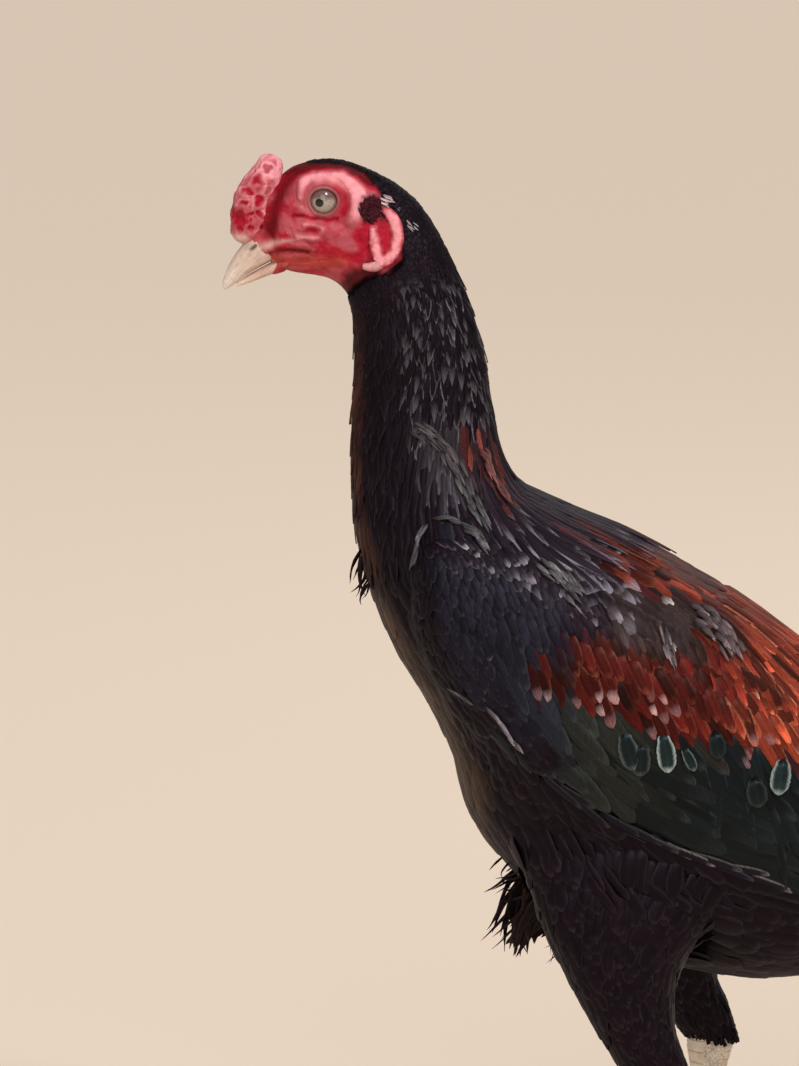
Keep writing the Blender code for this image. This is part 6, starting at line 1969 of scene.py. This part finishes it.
def make_claws(name, side):
    """Four claws and the spur of one leg."""
    foot, hock = leg_places(name, side)
    solids = []
    angle = circle(24, 0.0, 2 * np.pi)[None]
    for heading, length, claw, half in TOES.values():
        forward, across = toe_ways(heading, side)
        share = np.linspace(0.0, 1.0, 30)[:, None]
        run = length - 4.0 + (claw + 4.0) * share
        wide = half * 0.52 * (1 - share) ** 0.7 + 0.2
        high = 5.4 * (1 - share) ** 0.8 + 0.5
        lift = high * (0.5 + 0.5 * np.cos(angle)) + (2.3 * np.cos(share * np.pi / 2) + 0.35)
        rings = foot + forward * (run + 0 * angle)[..., None] + across * (wide * np.sin(angle))[..., None]
        solids.append(tube_mesh(rings + UP * lift[..., None]))
    root = foot + (hock - foot) * 0.36
    out = unit(vec(0.62, -0.62 * side, 0.10))
    side_way = unit(np.cross(out, UP))
    up_way = np.cross(side_way, out)
    share = np.linspace(0.0, 1.0, 30)
    path = root + out * (3.0 + 22.0 * share)[:, None] + UP * 2.6 * (share**2)[:, None]
    radius = 4.4 * (1 - share) ** 0.75 + 0.35
    way = side_way * np.cos(angle[0])[None, :, None] + up_way * np.sin(angle[0])[None, :, None]
    solids.append(tube_mesh(path[:, None] + way * radius[:, None, None]))
    horn_object(f"claws_and_spur_{name}", solids, "claw_horn",
                [f"claw_{toe}_{name}" for toe in TOES] + [f"spur_{name}"])


# The loose tuft where belly and thighs meet in front: place and turn of the roots, where the tips hang,
# how many there are and how wide.
BELLY_TUFT = (
    (20.05, 0.47, -31.0, -8.0, 227.0, 6, 0.6), (20.2, 0.49, -38.0, -4.0, 216.0, 8, 0.9),
    (20.4, 0.50, -34.0, 0.0, 191.0, 12, 1.3), (20.5, 0.50, -24.0, 2.0, 182.0, 30, 2.8),
    (20.7, 0.52, -15.0, 6.0, 190.0, 24, 3.4), (20.9, 0.53, -4.0, 8.0, 180.0, 9, 0.8),
)
BREAST_TUFT = (14.25, 0.492, -103.5, -2.0, 373.0, 10, 0.9)


def belly_tuft():
    """Loose ragged feathers that hang from the belly in front of the legs, with thin wisps."""
    rng = np.random.default_rng(95)
    paths, wide = [], []
    for place, turn, x, y, z, number, half in (*BELLY_TUFT, BREAST_TUFT):
        for _ in range(number):
            u, v = np.array([place + rng.uniform(-0.3, 0.4)]), np.array([turn + rng.uniform(-0.05, 0.05)])
            root = BODY.at(u, v)[0] - BODY.normal(u, v)[0] * 2.5
            short = rng.uniform(0.0, 0.35)
            tip = vec(x, y, z) + (root - vec(x, y, z)) * short + rng.normal(0, (3.0, 4.0, 2.0))
            share = stations(9)[:, None]
            bow = vec(-4.0, 0.0, -2.0) * np.sin(np.pi * share) * rng.uniform(-0.4, 1.2)
            flick = np.array((rng.choice((-6.0, -2.0, 2.0)), 0.0, 1.0)) * share**4 * rng.uniform(0, 1.2)
            paths.append(root + (tip - root) * share + bow + flick)
            wide.append(half * rng.uniform(0.6, 1.25))
    points = np.stack(paths)
    count = len(points)
    sideways = rng.uniform(-0.6, 0.2, count), rng.choice((-1.0, 1.0), count), rng.uniform(-0.2, 0.2, count)
    normals = unit(np.stack(sideways, axis=1))[:, None]
    tint = BLACK * varied(rng, count, 0.3, 0.1)
    look = plain_look(tint, 1.3, every(count, BROWN), 0.4)
    root = patch_places(count, 0.78, 0.24 + 0.02 * rng.uniform(-1, 1, count))
    COAT.add("plumage_black", points, normals, np.array(wide), look, 96, columns=1,
             shape=shape_lance, root=root, ragged=0.15)


TUFT_RED, TUFT_PALE = vec(0.034, 0.0045, 0.007), vec(0.36, 0.27, 0.28)
TUFT_GREY = vec(0.24, 0.22, 0.24)
# Tufts of the head in side view: middle x and z, how wide, how many, their way x and z, length and half width
# of the feathers, colour, and how far they stand up.
HEAD_TUFTS = (
    (-99.0, 582.0, 5.4, 340, (0.45, -0.85), 4.2, 0.42, TUFT_RED, 1.0),
    (-93.0, 585.4, 2.6, 16, (0.9, -0.35), 5.0, 0.42, TUFT_PALE, 0.6),
    (-80.0, 573.6, 2.0, 12, (0.62, -0.8), 6.0, 0.42, TUFT_GREY, 0.4),
    (-86.0, 583.4, 2.0, 8, (0.62, -0.8), 5.0, 0.42, TUFT_GREY * 0.6, 0.4),
)


def head_tufts(tree):
    """The brown tuft over each ear, and single pale feathers behind it and on the nape."""
    rng = np.random.default_rng(97)
    share = stations(5)[:, None]
    for _, side in SIDES:
        for x, z, spread, number, (way_x, way_z), length, half, colour, stand in HEAD_TUFTS:
            paths = []
            for _ in range(number):
                away, turn = spread * math.sqrt(rng.uniform()), rng.uniform(0, 2 * math.pi)
                away = away * rng.uniform(0.72, 1.2)
                at = (x + away * math.cos(turn) * 0.92, 200.0 * side, z + away * math.sin(turn) * 1.12)
                hit = tree.ray_cast(Vector(at), Vector((0.0, -side, 0.0)))[0]
                if hit is None or hit.y * side < 6.0:
                    continue
                way = unit(vec(way_x, 0.0, way_z) + rng.normal(0, 0.13, 3) * vec(1, 0, 1))
                path = way * share * length * rng.uniform(0.75, 1.15)
                path = vec(at[0], hit.y - 0.9 * side, at[2]) + path
                path[:, 1] += side * (stand + 0.8) * np.sin(share[:, 0] * 2.2) * rng.uniform(0.6, 1.3)
                paths.append(path)
            points, count = np.stack(paths), len(paths)
            tint = colour * varied(rng, count, 0.3)
            look = plain_look(tint, 1.15, tint * 1.6, 0.3)
            root = patch_places(count, 0.2, 0.24 + 0.01 * rng.uniform(-1, 1, count))
            normals = unit(vec(0.15, side, 0.35))
            COAT.add("plumage_black", points, normals, np.full(count, half), look, 98, root, thick=0.25,
                     ragged=0.1)


# The plumage's materials: roughness, sheen and its tint, specular level and its tint.
PLUMAGE = {
    "plumage_black": (0.46, 0.010, (0.62, 0.50, 0.75), 0.11, (1.0, 0.74, 0.96)),
    "plumage_red": (0.42, 0.010, (1.0, 0.62, 0.5), 0.13, (1.0, 0.62, 0.55)),
    "plumage_green": (0.38, 0.012, (0.35, 0.9, 0.85), 0.15, (0.80, 0.92, 1.0)),
}


def main_pieces():
    """Skin first, because the feathers lie on it."""
    materials = {name: feather_paint(name, *values) for name, values in PLUMAGE.items()}
    skin = make_skin()
    sculpt_face(skin)
    dress(skin, skin_paint(), "plumage_black", "head", "neck_upper", "neck_lower", "torso", "wing_left",
          "wing_right", "thigh_left", "thigh_right", "tail")
    tree = skin_tree(skin)
    for feathers in (crown_feathers, neck_feathers, body_feathers, shoulder_feathers, thigh_feathers,
                     cape_feathers, saddle_feathers, wing_feathers):
        feathers(tree)
    tail_feathers()
    edge_feathers()
    belly_tuft()
    head_tufts(tree)
    COAT.make(materials)
    make_comb()
    make_lobes()
    make_bills()
    make_eyes()
    for name, side in SIDES:
        make_leg(name, side)
        make_claws(name, side)


# What the camera looks at and how far away it is, in metres, and how far above it stands, in degrees.
CAMERA_AIM, CAMERA_AWAY, CAMERA_RISE = Vector((-0.194, 0.0, 0.409)), 4.0, 9.0
# What the lights shine on, in metres. The floor's reach and how low it lies, in millimetres.
LIGHT_AIM, FLOOR_REACH, FLOOR_SUNK = Vector((-0.15, 0.0, 0.35)), 9e3, 0.5


def make_camera():
    """The photograph's side view, from a little above."""
    data = bpy.data.cameras.new("camera")
    data.lens, data.sensor_width, data.sensor_fit = 260.0, 36.0, "AUTO"
    data.clip_end = 50.0
    camera = bpy.data.objects.new("camera", data)
    bpy.context.scene.collection.objects.link(camera)
    rise = math.radians(CAMERA_RISE)
    camera.location = CAMERA_AIM + Vector((0.0, -math.cos(rise), math.sin(rise))) * CAMERA_AWAY
    camera.rotation_euler = (CAMERA_AIM - camera.location).to_track_quat("-Z", "Y").to_euler()
    bpy.context.scene.camera = camera
    bpy.context.scene.view_settings.view_transform = "Standard"


def make_studio():
    """A plain pale floor and soft lights."""
    corners = np.array(((-1, -1, 0), (1, -1, 0), (1, 1, 0), (-1, 1, 0))) * FLOOR_REACH - UP * FLOOR_SUNK
    floor = mesh_object("floor", corners, [(0, 1, 2, 3)])
    paint = Paint("floor", base_color=(0.84, 0.70, 0.57), roughness=0.9)
    floor.data.materials.append(paint.material)
    world = bpy.data.worlds.new("studio")
    bpy.context.scene.world = world
    world.use_nodes = True
    sky = world.node_tree.nodes["Background"]
    sky.inputs[0].default_value, sky.inputs[1].default_value = (0.90, 0.88, 0.86, 1.0), 0.42
    # Name, kind, place, power and colour.
    lights = (
        ("key", "SUN", (0.9, -2.0, 2.9), 1.9, (1.0, 0.97, 0.93)),
        ("soft", "AREA", (-0.4, -2.4, 1.6), 22.0, (1.0, 0.98, 0.96)),
        ("back", "AREA", (0.9, 2.2, 2.2), 9.0, (1.0, 0.98, 0.95)),
    )
    for name, kind, place, power, colour in lights:
        data = bpy.data.lights.new(name, kind)
        data.energy, data.color = power, colour
        if kind == "SUN":
            data.angle = math.radians(14.0)
        else:
            data.size = 1.6
        light = bpy.data.objects.new(name, data)
        light.location = place
        light.rotation_euler = (LIGHT_AIM - light.location).to_track_quat("-Z", "Y").to_euler()
        bpy.context.scene.collection.objects.link(light)


make_camera()
make_studio()
main_pieces()
